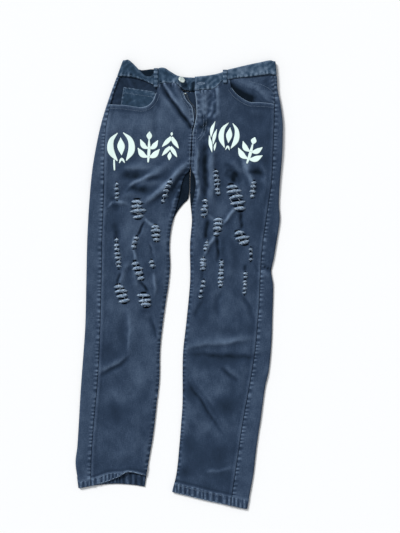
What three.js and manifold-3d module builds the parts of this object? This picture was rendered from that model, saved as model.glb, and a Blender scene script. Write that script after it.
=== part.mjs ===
// Ripped slim five-pocket jeans, laid flat on their back with the fly undone.
// Millimetres. X runs across the garment, Y from the hems up to the waist, Z up from the table.
// "right" and "left" are the wearer's: the right leg lies on the -X side.
import * as THREE from "three";
import { mergeVertices } from "three/addons/utils/BufferGeometryUtils.js";
import Module from "manifold-3d";

const wasm = await Module();
wasm.setup();

// ---------- driving dimensions ----------

const DENIM = 1.2; // one layer of cloth
const HEM = 2.4; // cloth turned up on itself
const HEM_DEPTH = 24;
const HEM_STEP = 4; // length over which the hem thins to one layer
const BAND = 2.6; // waistband: two layers and their turnings
const TAPE = 0.8; // zip tape
const LOOP = 1.5; // belt loop, pressed flat
const LOOP_WIDTH = 10;
const SEAM_GAP = 0.3; // between pieces that are sewn together
const INSEAM_GAP = 0.6; // between a front and the back it lies on
const WAIST_GAP = 0.5; // between the waistband and what hangs from it
const SEAT_LIFT = 1.8; // the seat lies on the back pockets and belt loops by this much
const SEAT_START = 200; // y where the back begins to rise onto them
const SEAT_END = 240;
const CROTCH = 262; // y where the inseams meet the crotch seam
const INSEAM_ROLL = 12; // width over which a front rolls down to its inseam
const SETTLE = 8; // rounds that find where a row meets an edge
const EVEN_ROWS = 25; // rows of points up a leg's cloth, above its hem
const BACK_COLUMNS = 5; // points across the underside of a back panel
const YOKE_COLUMNS = 12;
const FOLD_RADIUS = 4; // half-width of the turn at the outside of a leg

// Height of the front layer's middle surface along the garment, as [y, z].
const FRONT_RISE = [[-540, 4.8], [100, 5], [250, 6.8], [350, 8.4], [450, 9.4], [540, 9.6]];

// Right leg. Edges are [y, x]; hems are [x, y].
const RIGHT = {
  side: -1,
  hemAtSeam: -480, // y of the hem about where it meets the outseam
  // where the cloth folds over at the outside of the leg
  fold: [
    [538, -133], [499, -148], [439, -170], [378, -188], [291, -205], [217, -213], [119, -219], [16, -221.5],
    [-95, -224], [-184, -230], [-251, -235], [-385, -243], [-425, -247.5], [-463, -243], [-487, -240],
  ],
  // the outseam, where the back, rolled forward, meets the front
  seam: [
    [499, -142], [440, -162], [373, -175], [301, -179], [224, -180], [121, -184], [13, -186], [-102, -189],
    [-217, -194], [-318, -203], [-402, -209.5], [-487, -212],
  ],
  // zip edge, crotch seam and inseam of the front
  inner: [
    [463, 9], [441, 18], [428, 30], [407, 34.5], [388, 35.5],
    [364, 31.6], [320, 28.8], [277, 26.2], [262, 14],
    [240, 6], [210, 0], [165, -12], [128, -20], [90, -23], [47, -21.5], [4, -25], [-42, -32], [-97, -39.5],
    [-155, -45.5], [-227, -47], [-280, -53], [-359, -62], [-424, -73], [-487, -83],
  ],
  // centre back seam and inseam of the back, which shows past the front at the crotch
  backInner: [
    [500, 33], [400, 30], [330, 28], [268, 26], [208, 22.5], [194, 10], [176, -4], [152, -15], [120, -21],
    [90, -23], [47, -21.5], [4, -25], [-42, -32], [-97, -39.5], [-155, -45.5], [-227, -47], [-280, -53],
    [-359, -62], [-424, -73], [-487, -83],
  ],
  // top of the front from the outseam inwards, as [x, y], one for each column of its cloth:
  // first the pocket mouth, then the waist seam
  mouth: [
    [-166, 431], [-145, 430], [-125, 428.6], [-105, 425.5], [-89, 424], [-73, 429], [-61, 442], [-54, 460],
  ],
  waist: [[-52, 476], [-40, 482], [-23, 482], [-6.5, 480], [2, 471], [9, 463]],
  hemFront: [
    [-240, -487], [-205, -480], [-171.5, -470], [-144, -458], [-123.5, -447], [-99.5, -450], [-78, -457.5],
  ],
  hemBack: [[-240, -487], [-205, -481], [-155, -476.5], [-110, -479], [-83, -483.5]],
};

// Left leg, in the same terms.
const LEFT = {
  side: 1,
  hemAtSeam: -537,
  fold: [
    [535, 230], [502, 234], [469, 236], [436, 242.5], [391, 248],
    [349, 248], [301, 246], [241, 241], [193, 239],
    [158, 241], [109, 234], [66, 227], [32, 220.5], [2, 225], [-88, 223], [-133, 221.5], [-203, 215],
    [-244, 206], [-323, 195], [-383, 186], [-452, 178], [-480, 173], [-537, 162.5],
  ],
  seam: [
    [502, 227], [469, 228], [432, 229], [385, 228], [337, 226],
    [301, 225], [248, 222], [198, 215], [157, 209.5],
    [107, 202], [66, 198], [16, 195], [-37, 193], [-83, 189.5], [-160, 182.5], [-244, 169], [-335, 152.5],
    [-426, 139], [-493, 129], [-537, 123],
  ],
  inner: [
    [466, 38], [443, 41], [409, 42.5], [388, 39], [364, 33.2], [320, 31], [277, 29], [262, 37], [243, 40.5],
    [212, 36], [186, 31], [152, 31], [97, 26.5], [16, 27], [-37, 23], [-95, 17], [-167, 9.5], [-284, 8.5],
    [-335, 5], [-385, 1], [-452, -6], [-496, -16.5],
  ],
  backInner: [
    [500, 33.6], [400, 30.6], [330, 28.8], [268, 27.8], [208, 26.5], [190, 28], [152, 31], [97, 26.5],
    [16, 27], [-37, 23], [-95, 17], [-167, 9.5], [-284, 8.5],
    [-335, 5], [-385, 1], [-452, -6], [-496, -16.5],
  ],
  mouth: [
    [228, 432], [214, 434], [199, 435.5], [184, 436], [169, 437], [152, 445.5], [135, 458.5], [125, 472],
  ],
  waist: [[119.5, 491], [104, 486.5], [94, 477], [84, 468.7], [61, 466.5], [38, 465.5]],
  hemFront: [[162.5, -537], [71.5, -517], [-16.5, -495.5]],
  hemBack: [[162.5, -537], [71.5, -517], [-16.5, -495.5]],
};

// Waistband stations, each its lower and its top point. The front ones run from the fly out.
const BAND_RIGHT = [
  [[48, 465], [48, 496.5]], [[28, 465.5], [28, 497]], [[9, 468], [14, 497.5]], [[2, 474], [4, 498.5]],
  [[-6.5, 480.5], [-6, 501]], [[-23, 482.5], [-20, 510]], [[-40, 482.5], [-36, 519.5]],
  [[-52, 476.5], [-52, 516.5]], [[-66, 481], [-66, 500]], [[-80, 487.5], [-79, 500]],
  [[-95, 493], [-92, 511]], [[-110, 496.5], [-106, 526]], [[-128, 499], [-120, 538]],
  [[-143, 499], [-129, 537.5]],
];
const BAND_LEFT = [
  [[38, 466], [38, 498]], [[61, 467], [61, 500]], [[84, 469.2], [82, 503]], [[94, 477.5], [92, 505]],
  [[104, 487], [102, 508]], [[119.5, 491.5], [115, 514]], [[140, 495.5], [138, 520]],
  [[165, 498], [165, 526.5]], [[198, 502], [192, 532]], [[217, 504], [216, 537]], [[229, 502], [226, 535]],
];
// The same edges across the back, as [x, y].
const BACK_LOW = [[-148, 499], [-100, 484], [-50, 478], [33, 463], [85, 465], [165, 486], [234, 502]];
const BACK_HIGH = [
  [-133, 537], [-97, 516], [-60, 517], [-20, 507], [17, 495], [84, 499], [165, 523], [230, 535],
];
// The yoke seams: straight from the centre back, rising outwards.
const YOKE = { x: 31, y: 398, slope: 0.26 };
// How far the band's button end dips below the front, to pass under its buttonhole end, by x.
const UNDERLAP_DIP = [[-2, 0], [16, 4.4]];

// Main folds of the front: ridges (high > 0) and troughs along a path of [x, y].
const FOLDS = [
  // the fly, pulled open, with its facing side thrown up
  { path: [[-50, 474], [-24, 447], [3, 411], [22, 388]], high: -2, wide: 12 },
  { path: [[-10, 512], [-8, 470], [6, 434], [24, 395]], high: 6, wide: 14 },
  // beside the fly on the left
  { path: [[99, 480], [101, 425], [95, 385]], high: 5, wide: 16 },
  // folds that fan out from the crotch
  { path: [[29, 318], [-4, 272], [-85, 200]], high: 6, wide: 18 },
  { path: [[47, 330], [49, 262], [52, 190]], high: 5, wide: 16 },
  { path: [[165, 320], [178, 240]], high: 4, wide: 22 },
  // knees and shins
  { path: [[-120, -60], [-117, -120], [-118, -185]], high: 4, wide: 22 },
  { path: [[0, -150], [110, -148], [222, -152]], high: 4.6, wide: 20 },
  { path: [[16, -240], [58, -320]], high: 4, wide: 24 },
  // the right hem, arched up off the back
  { path: [[-150, -470], [-95, -466]], high: 6, wide: 40 },
];

// Rips: ladders of short cross cuts, from one end to the other.
const RIPS_RIGHT = [
  { from: [-100, 204], to: [-100, 160], width: 36, cuts: 3 },
  { from: [-19, 252], to: [-38, 198], width: 15, cuts: 3 },
  { from: [-59, 143], to: [-56, 104], width: 22, cuts: 2 },
  { from: [-105, 56], to: [-92, 11], width: 22, cuts: 3 },
  { from: [-150, 112], to: [-143, 40], width: 13, cuts: 3 },
  { from: [-145, 1], to: [-131, -44], width: 28, cuts: 3 },
  { from: [-83, -18], to: [-78, -52], width: 34, cuts: 3 },
];
const RIPS_LEFT = [
  { from: [128, 239], to: [145, 176], width: 34, cuts: 3 },
  { from: [180, 251], to: [174, 208], width: 13, cuts: 2 },
  { from: [95, 160], to: [92, 119], width: 26, cuts: 3 },
  { from: [140, 128], to: [162, 95], width: 32, cuts: 3 },
  { from: [102, 59], to: [99.5, -6], width: 13, cuts: 3 },
  { from: [160, 30], to: [157, -25], width: 10, cuts: 3 },
];
const CUT_GAPE = 2.6; // how wide a cut opens at its middle
const CUT_HEIGHT = 60; // how far up from the back the cuts reach, past every fold

// Flat-cut pieces, as [x, y] outlines.
const BEARER_RIGHT = [
  [-164, 418], [-124, 414], [-88, 409], [-66, 414], [-50, 430],
  [-41, 455], [-40, 487], [-53, 482], [-66, 487],
  [-80, 493.5], [-95, 499], [-110, 502], [-128, 504], [-139, 504], [-150, 472], [-160, 440],
];
const COIN_POCKET = [[-133, 474], [-58, 463], [-56, 440], [-64, 424], [-100, 417], [-141, 421]];
const BEARER_LEFT = [
  [226, 419], [199, 421], [165, 423], [144, 432], [124, 448],
  [112, 468], [108, 494], [119, 497.5], [140, 501.5],
  [165, 504], [198, 508], [217, 509], [224, 508], [225.5, 469],
];
const BACK_POCKET = [[-66, 0], [66, 0], [62, -120], [0, -150], [-62, -120]]; // about its mouth's middle
const BACK_POCKET_AT = { right: [-68, 396], left: [136, 396] };
const FLY_SHIELD = [[4, 462.5], [60, 461.5], [58, 410], [46, 392], [28, 392], [22, 410], [10, 440]];
const ZIP_TAPE_RIGHT = [
  [6, 461], [17, 461], [24, 441], [35, 428], [41, 407],
  [41, 389], [30, 389], [29, 405], [24, 424], [13, 438],
];
const ZIP_TAPE_LEFT = [[43.5, 461], [55, 461], [57, 407], [50, 389], [43, 389], [46, 409]];

// How far the underside of each piece inside lies below the middle of the front over it.
const BEARER_DROP = 3.8;
const COIN_POCKET_DROP = 2.2;
const FLY_SHIELD_DROP = 4.2;
const ZIP_TAPE_DROP = 2.7;

// Where the small metal pieces are, and how far the button leans with the band under it.
const TOP_STOP_SIZE = [3.4, 2.2, 1.4];
const TOP_STOP_AT = [15.2, 458, 8.6];
const SLIDER_AT = [41, 377, 4];
const TAB_AT = [41, 357, 3.8];
const BUTTON_AT = [5, 488, 12.9];
const BUTTON_FACES = [0.5, 0.42, 0.76];

// Belt loops: middle x, low y, high y.
const FRONT_LOOPS = { front_right: [-55, 473, 518], front_left: [110, 482, 514] };
const BACK_LOOPS = { side_right: [-98, 474, 517], back: [33, 454, 496], side_left: [165, 478, 522] };

// ---------- curves and heights ----------

const { clamp, lerp, smoothstep } = THREE.MathUtils;

// A smooth function through [at, value] pairs, held level beyond its ends.
function through(pairs) {
  const p = [...pairs].sort((a, b) => a[0] - b[0]);
  const slope = p.map((_, i) => {
    const a = p[Math.max(i - 1, 0)];
    const b = p[Math.min(i + 1, p.length - 1)];
    return (b[1] - a[1]) / (b[0] - a[0]);
  });
  return (at) => {
    const x = clamp(at, p[0][0], p.at(-1)[0]);
    const i = Math.max(1, p.findIndex((q) => q[0] >= x));
    const wide = p[i][0] - p[i - 1][0];
    const t = (x - p[i - 1][0]) / wide;
    const level = lerp(p[i - 1][1], p[i][1], t * t * (3 - 2 * t));
    return level + wide * t * (1 - t) * (slope[i - 1] * (1 - t) - slope[i] * t);
  };
}

// How much a fold lifts the cloth at (x, y): a bell across its path, fading at both ends.
function foldLift({ path, high, wide }, x, y) {
  let far = Infinity;
  let share = 0;
  const last = path.length - 1;
  for (let i = 0; i < last; i++) {
    const [ax, ay] = path[i];
    const [dx, dy] = [path[i + 1][0] - ax, path[i + 1][1] - ay];
    const t = clamp(((x - ax) * dx + (y - ay) * dy) / (dx * dx + dy * dy), 0, 1);
    const apart = Math.hypot(x - ax - t * dx, y - ay - t * dy);
    if (apart < far) [far, share] = [apart, (i + t) / last];
  }
  const fade = smoothstep(share, -0.1, 0.3) * smoothstep(1 - share, -0.1, 0.3);
  return high * fade * Math.exp(-((far / wide) ** 2));
}

const level = through(FRONT_RISE);
const frontHeight = (x, y) => FOLDS.reduce((z, fold) => z + foldLift(fold, x, y), level(y));
const backHeight = (y) => DENIM / 2 + SEAT_LIFT * smoothstep(y, SEAT_START, SEAT_END);
const underlapDip = through(UNDERLAP_DIP);
const yokeSeam = (x) => YOKE.y + YOKE.slope * Math.abs(x - YOKE.x);
const backLow = through(BACK_LOW);
const backHigh = through(BACK_HIGH);

// ---------- walls ----------

// A closed wall about a middle surface: grid[i][j] is its point in column i and row j, and
// thick(j) its thickness there.
function wall(grid, thick) {
  const [columns, rows] = [grid.length, grid[0].length];
  const position = [];
  for (const side of [0.5, -0.5])
    for (let i = 0; i < columns; i++)
      for (let j = 0; j < rows; j++) {
        const across = grid[Math.min(i + 1, columns - 1)][j].clone().sub(grid[Math.max(i - 1, 0)][j]);
        const along = grid[i][Math.min(j + 1, rows - 1)].clone().sub(grid[i][Math.max(j - 1, 0)]);
        const out = across.cross(along).normalize();
        position.push(...grid[i][j].clone().addScaledVector(out, side * thick(j)).toArray());
      }
  const index = [];
  const quad = (a, b, c, d) => index.push(a, b, c, a, c, d);
  const id = (face, i, j) => (face * columns + i) * rows + j;
  const [right, top] = [columns - 1, rows - 1];
  for (let i = 0; i < right; i++) {
    for (let j = 0; j < top; j++) {
      quad(id(0, i, j), id(0, i + 1, j), id(0, i + 1, j + 1), id(0, i, j + 1));
      quad(id(1, i, j), id(1, i, j + 1), id(1, i + 1, j + 1), id(1, i + 1, j));
    }
    quad(id(0, i, 0), id(1, i, 0), id(1, i + 1, 0), id(0, i + 1, 0));
    quad(id(0, i, top), id(0, i + 1, top), id(1, i + 1, top), id(1, i, top));
  }
  for (let j = 0; j < top; j++) {
    quad(id(0, 0, j), id(0, 0, j + 1), id(1, 0, j + 1), id(1, 0, j));
    quad(id(0, right, j), id(1, right, j), id(1, right, j + 1), id(0, right, j + 1));
  }
  return new THREE.BufferGeometry()
    .setAttribute("position", new THREE.Float32BufferAttribute(position, 3))
    .setIndex(index);
}

const denim = () => DENIM;
// A panel's cloth is doubled between its first two rows, its hem.
const hemmed = (j) => (j < 2 ? HEM : DENIM);

// Rows of a leg's panels, as heights above the hem at the outseam: the hem, the step off it, then
// evenly up to the pocket mouth. The front and the back share them, so that their edges match.
function legRows(leg) {
  const length = leg.mouth[0][1] - leg.hemAtSeam;
  const step = HEM_DEPTH + HEM_STEP;
  const even = Array.from({ length: EVEN_ROWS }, (_, j) => lerp(step, length, j / (EVEN_ROWS - 1)));
  return [0, HEM_DEPTH, ...even];
}

// A flat-cut piece: its outline in cloth of one thickness, with its underside at height(x, y).
function laid(outline, height, thick) {
  const shape = new THREE.Shape(outline.map(([x, y]) => new THREE.Vector2(x, y)));
  const geometry = new THREE.ExtrudeGeometry(shape, { depth: thick, bevelEnabled: false });
  const at = geometry.attributes.position;
  for (let n = 0; n < at.count; n++) at.setZ(n, at.getZ(n) + height(at.getX(n), at.getY(n)));
  return geometry;
}

const underFront = (drop) => (x, y) => level(y) - drop;

// ---------- cutting ----------

function solid(geometry) {
  const bare = geometry.clone();
  bare.deleteAttribute("normal");
  bare.deleteAttribute("uv");
  const merged = mergeVertices(bare, 1e-3);
  return new wasm.Manifold(
    new wasm.Mesh({
      numProp: 3,
      vertProperties: merged.attributes.position.array,
      triVerts: new Uint32Array(merged.index.array),
    }),
  );
}

function geometryOf(manifold) {
  const mesh = manifold.getMesh();
  return new THREE.BufferGeometry()
    .setAttribute("position", new THREE.BufferAttribute(mesh.vertProperties, 3))
    .setIndex(new THREE.BufferAttribute(mesh.triVerts, 1));
}

// The cuts of one ladder, each a lens right through the cloth.
function cutsOf({ from, to, width, cuts }) {
  return Array.from({ length: cuts }, (_, n) => {
    const share = (n + 0.5) / cuts;
    const half = width / 2;
    const gape = CUT_GAPE / 2;
    const lens = [
      [-half, 0], [-half / 2, -gape], [half / 2, -gape], [half, 0], [half / 2, gape], [-half / 2, gape],
    ];
    const [x, y] = [lerp(from[0], to[0], share), lerp(from[1], to[1], share)];
    const outline = lens.map(([dx, dy]) => [x + dx, y + dy]);
    return solid(laid(outline, () => DENIM + SEAM_GAP, CUT_HEIGHT));
  });
}

// ---------- pieces ----------

// Front panel: from the outseam to the inseam, and from the hem to the pocket mouth and waist.
function frontPanel(leg, rips) {
  const top = [...leg.mouth, ...leg.waist];
  const [seam, inner, hem] = [through(leg.seam), through(leg.inner), through(leg.hemFront)];
  const inwards = -leg.side;
  const hemOut = seam(leg.hemFront[0][1]) + inwards * SEAM_GAP;
  const hemIn = leg.hemFront.at(-1)[0];
  const [topOut, topIn] = [top[0], top.at(-1)];
  const rows = legRows(leg);
  const shares = rows.map((row) => row / rows.at(-1));
  const grid = top.map(([topX, topY], i) => {
    const u = i / (top.length - 1);
    const hemX = lerp(hemOut, hemIn, u);
    const bow = topX - lerp(topOut[0], topIn[0], u); // this column's top, off an even spacing
    return shares.map((v, j) => {
      const y = lerp(hem(hemX), topY, v);
      const outX = seam(lerp(hem(hemOut), topOut[1], v)) + inwards * SEAM_GAP;
      const inX = inner(lerp(hem(hemIn), topIn[1], v));
      const x = lerp(outX, inX, u) + bow * v;
      return new THREE.Vector3(x, y, frontAt(inner, x, y, hemmed(j)));
    });
  });
  const cloth = solid(wall(grid, hemmed));
  return geometryOf(rips.flatMap(cutsOf).reduce((panel, cut) => panel.subtract(cut), cloth));
}

// A front's height, rolled down beside the inseam to lie on the back.
function frontAt(inner, x, y, thick) {
  const low = thick + INSEAM_GAP + thick / 2 + backHeight(y) - DENIM / 2;
  const clear = smoothstep(Math.abs(inner(y) - x) / INSEAM_ROLL, 0, 1);
  const above = smoothstep(y, CROTCH - 60, CROTCH);
  return lerp(low, frontHeight(x, y), Math.max(clear, above));
}

// A back piece: flat under the garment from its inner edge to the outside of the leg, then round
// and forward on top as far as the outseam. low(x) and high(x) are its ends, and flat counts the
// points across its underside, turns those round the fold and over those on top.
function wrapped(leg, low, high, shares, thick, flat) {
  const [turns, over] = [3, 2];
  const [fold, seam, inner] = [through(leg.fold), through(leg.seam), through(leg.backInner)];
  const place = (edge, v) => {
    let x = edge(0);
    for (let n = 0; n < SETTLE; n++) x = edge(lerp(low(x), high(x), v));
    return x;
  };
  const line = (v, j) => {
    const turn = place(fold, v);
    const inX = place(inner, v);
    const seamX = place(seam, v);
    const round = Math.min(FOLD_RADIUS, Math.abs(turn - seamX) * 0.6);
    const foldX = turn - leg.side * round;
    const point = (x, y, z) => new THREE.Vector3(x, y, z);
    const extra = (thick(j) - DENIM) / 2;
    const at = (x) => lerp(low(x), high(x), v);
    const ground = (x) => backHeight(at(x)) + extra;
    const roof = (x) => frontHeight(x, at(x));
    const points = [];
    for (let i = 0; i < flat; i++) {
      const x = lerp(inX, foldX, i / (flat - 1));
      points.push(point(x, at(x), ground(x)));
    }
    for (let i = 1; i <= turns; i++) {
      const angle = (Math.PI * i) / (turns + 1) - Math.PI / 2;
      const x = foldX + leg.side * round * Math.cos(angle);
      points.push(point(x, at(foldX), lerp(ground(foldX), roof(foldX), (Math.sin(angle) + 1) / 2)));
    }
    for (let i = 0; i < over; i++) {
      const x = lerp(foldX, seamX, i / (over - 1));
      points.push(point(x, at(x), roof(x)));
    }
    return points;
  };
  const lines = shares.map(line);
  const grid = lines[0].map((_, i) => lines.map((points) => points[i]));
  return wall(grid, thick);
}

function backPanel(leg) {
  const hem = through(leg.hemBack);
  const high = (x) => yokeSeam(x) - SEAM_GAP;
  const rows = legRows(leg);
  const length = yokeSeam(leg.seam[1][1]) - leg.mouth[0][1] + rows.at(-1);
  return wrapped(leg, hem, high, [...rows.map((row) => row / length), 1], hemmed, BACK_COLUMNS);
}

function yoke(leg) {
  const high = (x) => backLow(x) - SEAM_GAP;
  return wrapped(leg, yokeSeam, high, [0, 0.5, 1], denim, YOKE_COLUMNS);
}

// The waistband, one strip: from the button end out over the right front, round the right side,
// across the back, round the left side and in over the left front to the buttonhole end.
function waistband() {
  const high = 3; // rows of the strip
  const ground = SEAT_LIFT + BAND / 2;
  const stations = [];
  const add = ([lx, ly], [hx, hy], height) =>
    stations.push(
      Array.from({ length: high }, (_, j) => {
        const v = j / (high - 1);
        const [x, y] = [lerp(lx, hx, v), lerp(ly, hy, v)];
        return new THREE.Vector3(x, y, height(x, y));
      }),
    );
  const side = ([low, top], outwards) => {
    for (const share of [0.25, 0.5, 0.75]) {
      const angle = Math.PI * share;
      const out = outwards * FOLD_RADIUS * Math.sin(angle);
      const height = (x, y) => lerp(ground, frontHeight(x, y), (1 + outwards * -Math.cos(angle)) / 2);
      add([low[0] + out, low[1]], [top[0] + out, top[1]], height);
    }
  };
  for (const [low, top] of BAND_RIGHT) add(low, top, (x, y) => frontHeight(x, y) - underlapDip(x));
  side(BAND_RIGHT.at(-1), -1);
  const [from, to, steps] = [BAND_RIGHT.at(-1), BAND_LEFT.at(-1), 13];
  for (let n = 0; n <= steps; n++) {
    const t = n / steps;
    const [lowX, topX] = [lerp(from[0][0], to[0][0], t), lerp(from[1][0], to[1][0], t)];
    add([lowX, backLow(lowX) + WAIST_GAP], [topX, backHigh(topX)], () => ground);
  }
  side(BAND_LEFT.at(-1), 1);
  for (const [low, top] of [...BAND_LEFT].reverse()) add(low, top, frontHeight);
  return wall(stations, () => BAND);
}

// A belt loop pressed flat, tacked at both ends.
function beltLoop([x, low, high], height) {
  const half = LOOP_WIDTH / 2;
  return laid([[x - half, low], [x + half, low], [x + half, high], [x - half, high]], height, LOOP);
}

// The waistband's shank button: a dished cap on a short post, tilted with the cloth under it.
function button() {
  const profile = [
    [0, 0], [2.4, 0], [2.4, 2.2], [7.4, 2.6], [8.5, 3.4],
    [8.5, 4.2], [7.6, 4.9], [6, 4.9], [4.6, 4.3], [0, 4.3],
  ];
  const turned = new THREE.LatheGeometry(profile.map(([r, z]) => new THREE.Vector2(r, z)), 24);
  return turned.rotateX(Math.PI / 2);
}

// The slider at the foot of the fly.
function zipSlider() {
  const body = new THREE.Shape(
    [[-3, 0], [3, 0], [4, 4], [4, 10], [-4, 10], [-4, 4]].map(([x, y]) => new THREE.Vector2(x, y)),
  );
  return new THREE.ExtrudeGeometry(body, { depth: 2.6, bevelEnabled: false });
}

// The slider's pull tab, with its eye.
function zipTab() {
  const tab = new THREE.Shape();
  tab.moveTo(-2, 0).lineTo(2, 0).lineTo(3, 16);
  tab.absarc(0, 16, 3, 0, Math.PI, false);
  const eye = new THREE.Path().absarc(0, 15.6, 1.5, 0, 2 * Math.PI, true);
  tab.holes.push(eye);
  return new THREE.ExtrudeGeometry(tab, { depth: 1, bevelEnabled: false, curveSegments: 6 });
}

// ---------- materials and assembly ----------

const finish = (name, color, roughness, metalness) =>
  new THREE.MeshStandardMaterial({ name, color, roughness, metalness });
const cloth = (name, color) => finish(name, color, 0.92, 0);
const metal = (name, color) => finish(name, color, 0.35, 0.9);
const DARK_DENIM = cloth("faded black denim", 0x38465a);
const WORN_DENIM = cloth("denim, more worn", 0x4a5b72);
const TAPE_CLOTH = cloth("woven zip tape", 0x20262e);
const PALE_METAL = metal("pale plated metal", 0xdfe6e4);
const ZIP_METAL = metal("zip metal", 0xa9aca8);

const jeans = new THREE.Group();
function piece(name, geometry, material, place = [0, 0, 0]) {
  const mesh = new THREE.Mesh(geometry, material);
  mesh.name = name;
  mesh.position.set(...place);
  jeans.add(mesh);
  return mesh;
}

piece("front_panel_right", frontPanel(RIGHT, RIPS_RIGHT), DARK_DENIM);
piece("front_panel_left", frontPanel(LEFT, RIPS_LEFT), DARK_DENIM);
piece("back_panel_right", backPanel(RIGHT), DARK_DENIM);
piece("back_panel_left", backPanel(LEFT), DARK_DENIM);
piece("yoke_right", yoke(RIGHT), DARK_DENIM);
piece("yoke_left", yoke(LEFT), DARK_DENIM);
piece("waistband", waistband(), WORN_DENIM);

piece("pocket_bearer_right", laid(BEARER_RIGHT, underFront(BEARER_DROP), DENIM), DARK_DENIM);
piece("pocket_bearer_left", laid(BEARER_LEFT, underFront(BEARER_DROP), DENIM), DARK_DENIM);
piece("coin_pocket", laid(COIN_POCKET, underFront(COIN_POCKET_DROP), DENIM), WORN_DENIM);
for (const [side, place] of Object.entries(BACK_POCKET_AT))
  piece(`back_pocket_${side}`, laid(BACK_POCKET, () => 0, DENIM), DARK_DENIM, [...place, 0]);

piece("fly_shield", laid(FLY_SHIELD, underFront(FLY_SHIELD_DROP), DENIM), DARK_DENIM);
piece("zip_tape_right", laid(ZIP_TAPE_RIGHT, underFront(ZIP_TAPE_DROP), TAPE), TAPE_CLOTH);
piece("zip_tape_left", laid(ZIP_TAPE_LEFT, underFront(ZIP_TAPE_DROP), TAPE), TAPE_CLOTH);
piece("zip_top_stop", new THREE.BoxGeometry(...TOP_STOP_SIZE), PALE_METAL, TOP_STOP_AT);
piece("zip_slider", zipSlider(), ZIP_METAL, SLIDER_AT);
piece("zip_tab", zipTab(), ZIP_METAL, TAB_AT);

const onBand = (x, y) => frontHeight(x, y) + BAND / 2 + SEAM_GAP;
for (const [side, loop] of Object.entries(FRONT_LOOPS))
  piece(`belt_loop_${side}`, beltLoop(loop, onBand), WORN_DENIM);
for (const [side, loop] of Object.entries(BACK_LOOPS))
  piece(`belt_loop_${side}`, beltLoop(loop, () => 0), WORN_DENIM);

const buttonMesh = piece("button", button(), PALE_METAL, BUTTON_AT);
buttonMesh.quaternion.setFromUnitVectors(
  new THREE.Vector3(0, 0, 1),
  new THREE.Vector3(...BUTTON_FACES).normalize(),
);

export default jeans;
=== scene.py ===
import math
import random
from functools import partial

import bpy
import numpy as np
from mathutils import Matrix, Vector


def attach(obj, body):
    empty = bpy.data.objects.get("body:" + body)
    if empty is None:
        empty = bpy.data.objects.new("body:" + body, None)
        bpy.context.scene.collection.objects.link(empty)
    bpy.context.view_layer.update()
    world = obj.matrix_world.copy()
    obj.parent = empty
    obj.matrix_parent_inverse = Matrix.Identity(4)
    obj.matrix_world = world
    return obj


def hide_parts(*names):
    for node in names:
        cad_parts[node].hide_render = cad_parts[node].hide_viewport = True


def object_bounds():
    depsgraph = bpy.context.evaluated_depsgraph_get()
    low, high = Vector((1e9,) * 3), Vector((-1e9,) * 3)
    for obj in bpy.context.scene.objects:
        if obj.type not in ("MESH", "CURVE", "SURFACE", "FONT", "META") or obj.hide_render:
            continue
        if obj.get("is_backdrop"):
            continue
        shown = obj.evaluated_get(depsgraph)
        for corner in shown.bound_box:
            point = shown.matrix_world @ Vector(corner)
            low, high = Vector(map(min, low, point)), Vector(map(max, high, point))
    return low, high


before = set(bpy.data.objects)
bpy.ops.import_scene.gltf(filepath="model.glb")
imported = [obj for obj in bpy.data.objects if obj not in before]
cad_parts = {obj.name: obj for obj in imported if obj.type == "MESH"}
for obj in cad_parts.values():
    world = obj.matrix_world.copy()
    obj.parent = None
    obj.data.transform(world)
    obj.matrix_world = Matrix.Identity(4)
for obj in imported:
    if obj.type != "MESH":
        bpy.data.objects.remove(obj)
CAD_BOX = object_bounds()

# Ripped slim jeans, laid flat on their back with the fly undone. Sizes are in millimetres in
# the frame's own axes: X across the garment, Y from the hems up to the waist, Z up from the
# table. "right" and "left" are the wearer's, so the right leg is on the -X side.
MM = 0.001

# ------------------------------------------------------------------ cloth and seams
# Thicknesses: one layer of cloth, the hems, the waistband, a belt loop and a zip tape.
DENIM, HEM, BAND, LOOP, TAPE = 1.2, 2.4, 2.6, 1.5, 0.8
HEM_DEPTH = 24
LOOP_WIDTH = 10
SEAM_GAP = 0.5
INSEAM_GAP = 0.6
SEAT_LIFT = 1.8  # the seat lies on the back pockets
SEAT_START, SEAT_END = 200, 240
CROTCH = 262
PLAIN_INSEAM = (150, 270)  # round the crotch, where the inseam has no puckers
INSEAM_ROLL = 10
FOLD_RADIUS = 4
FELLED, FELLED_WIDE, FELLED_TO = 0.7, 9, 440  # the outseam's felled ridge, up to the pocket mouth
IN_FRONT = 3.2  # a back's cloth that is higher than this has come round to the front
FAR = 99.0  # the seam distance of cloth that has no seam near it
FRONT_RISE = [(-540, 4.8), (100, 5.2), (250, 6.8), (350, 8.4), (450, 9.4), (540, 9.6)]

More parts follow.
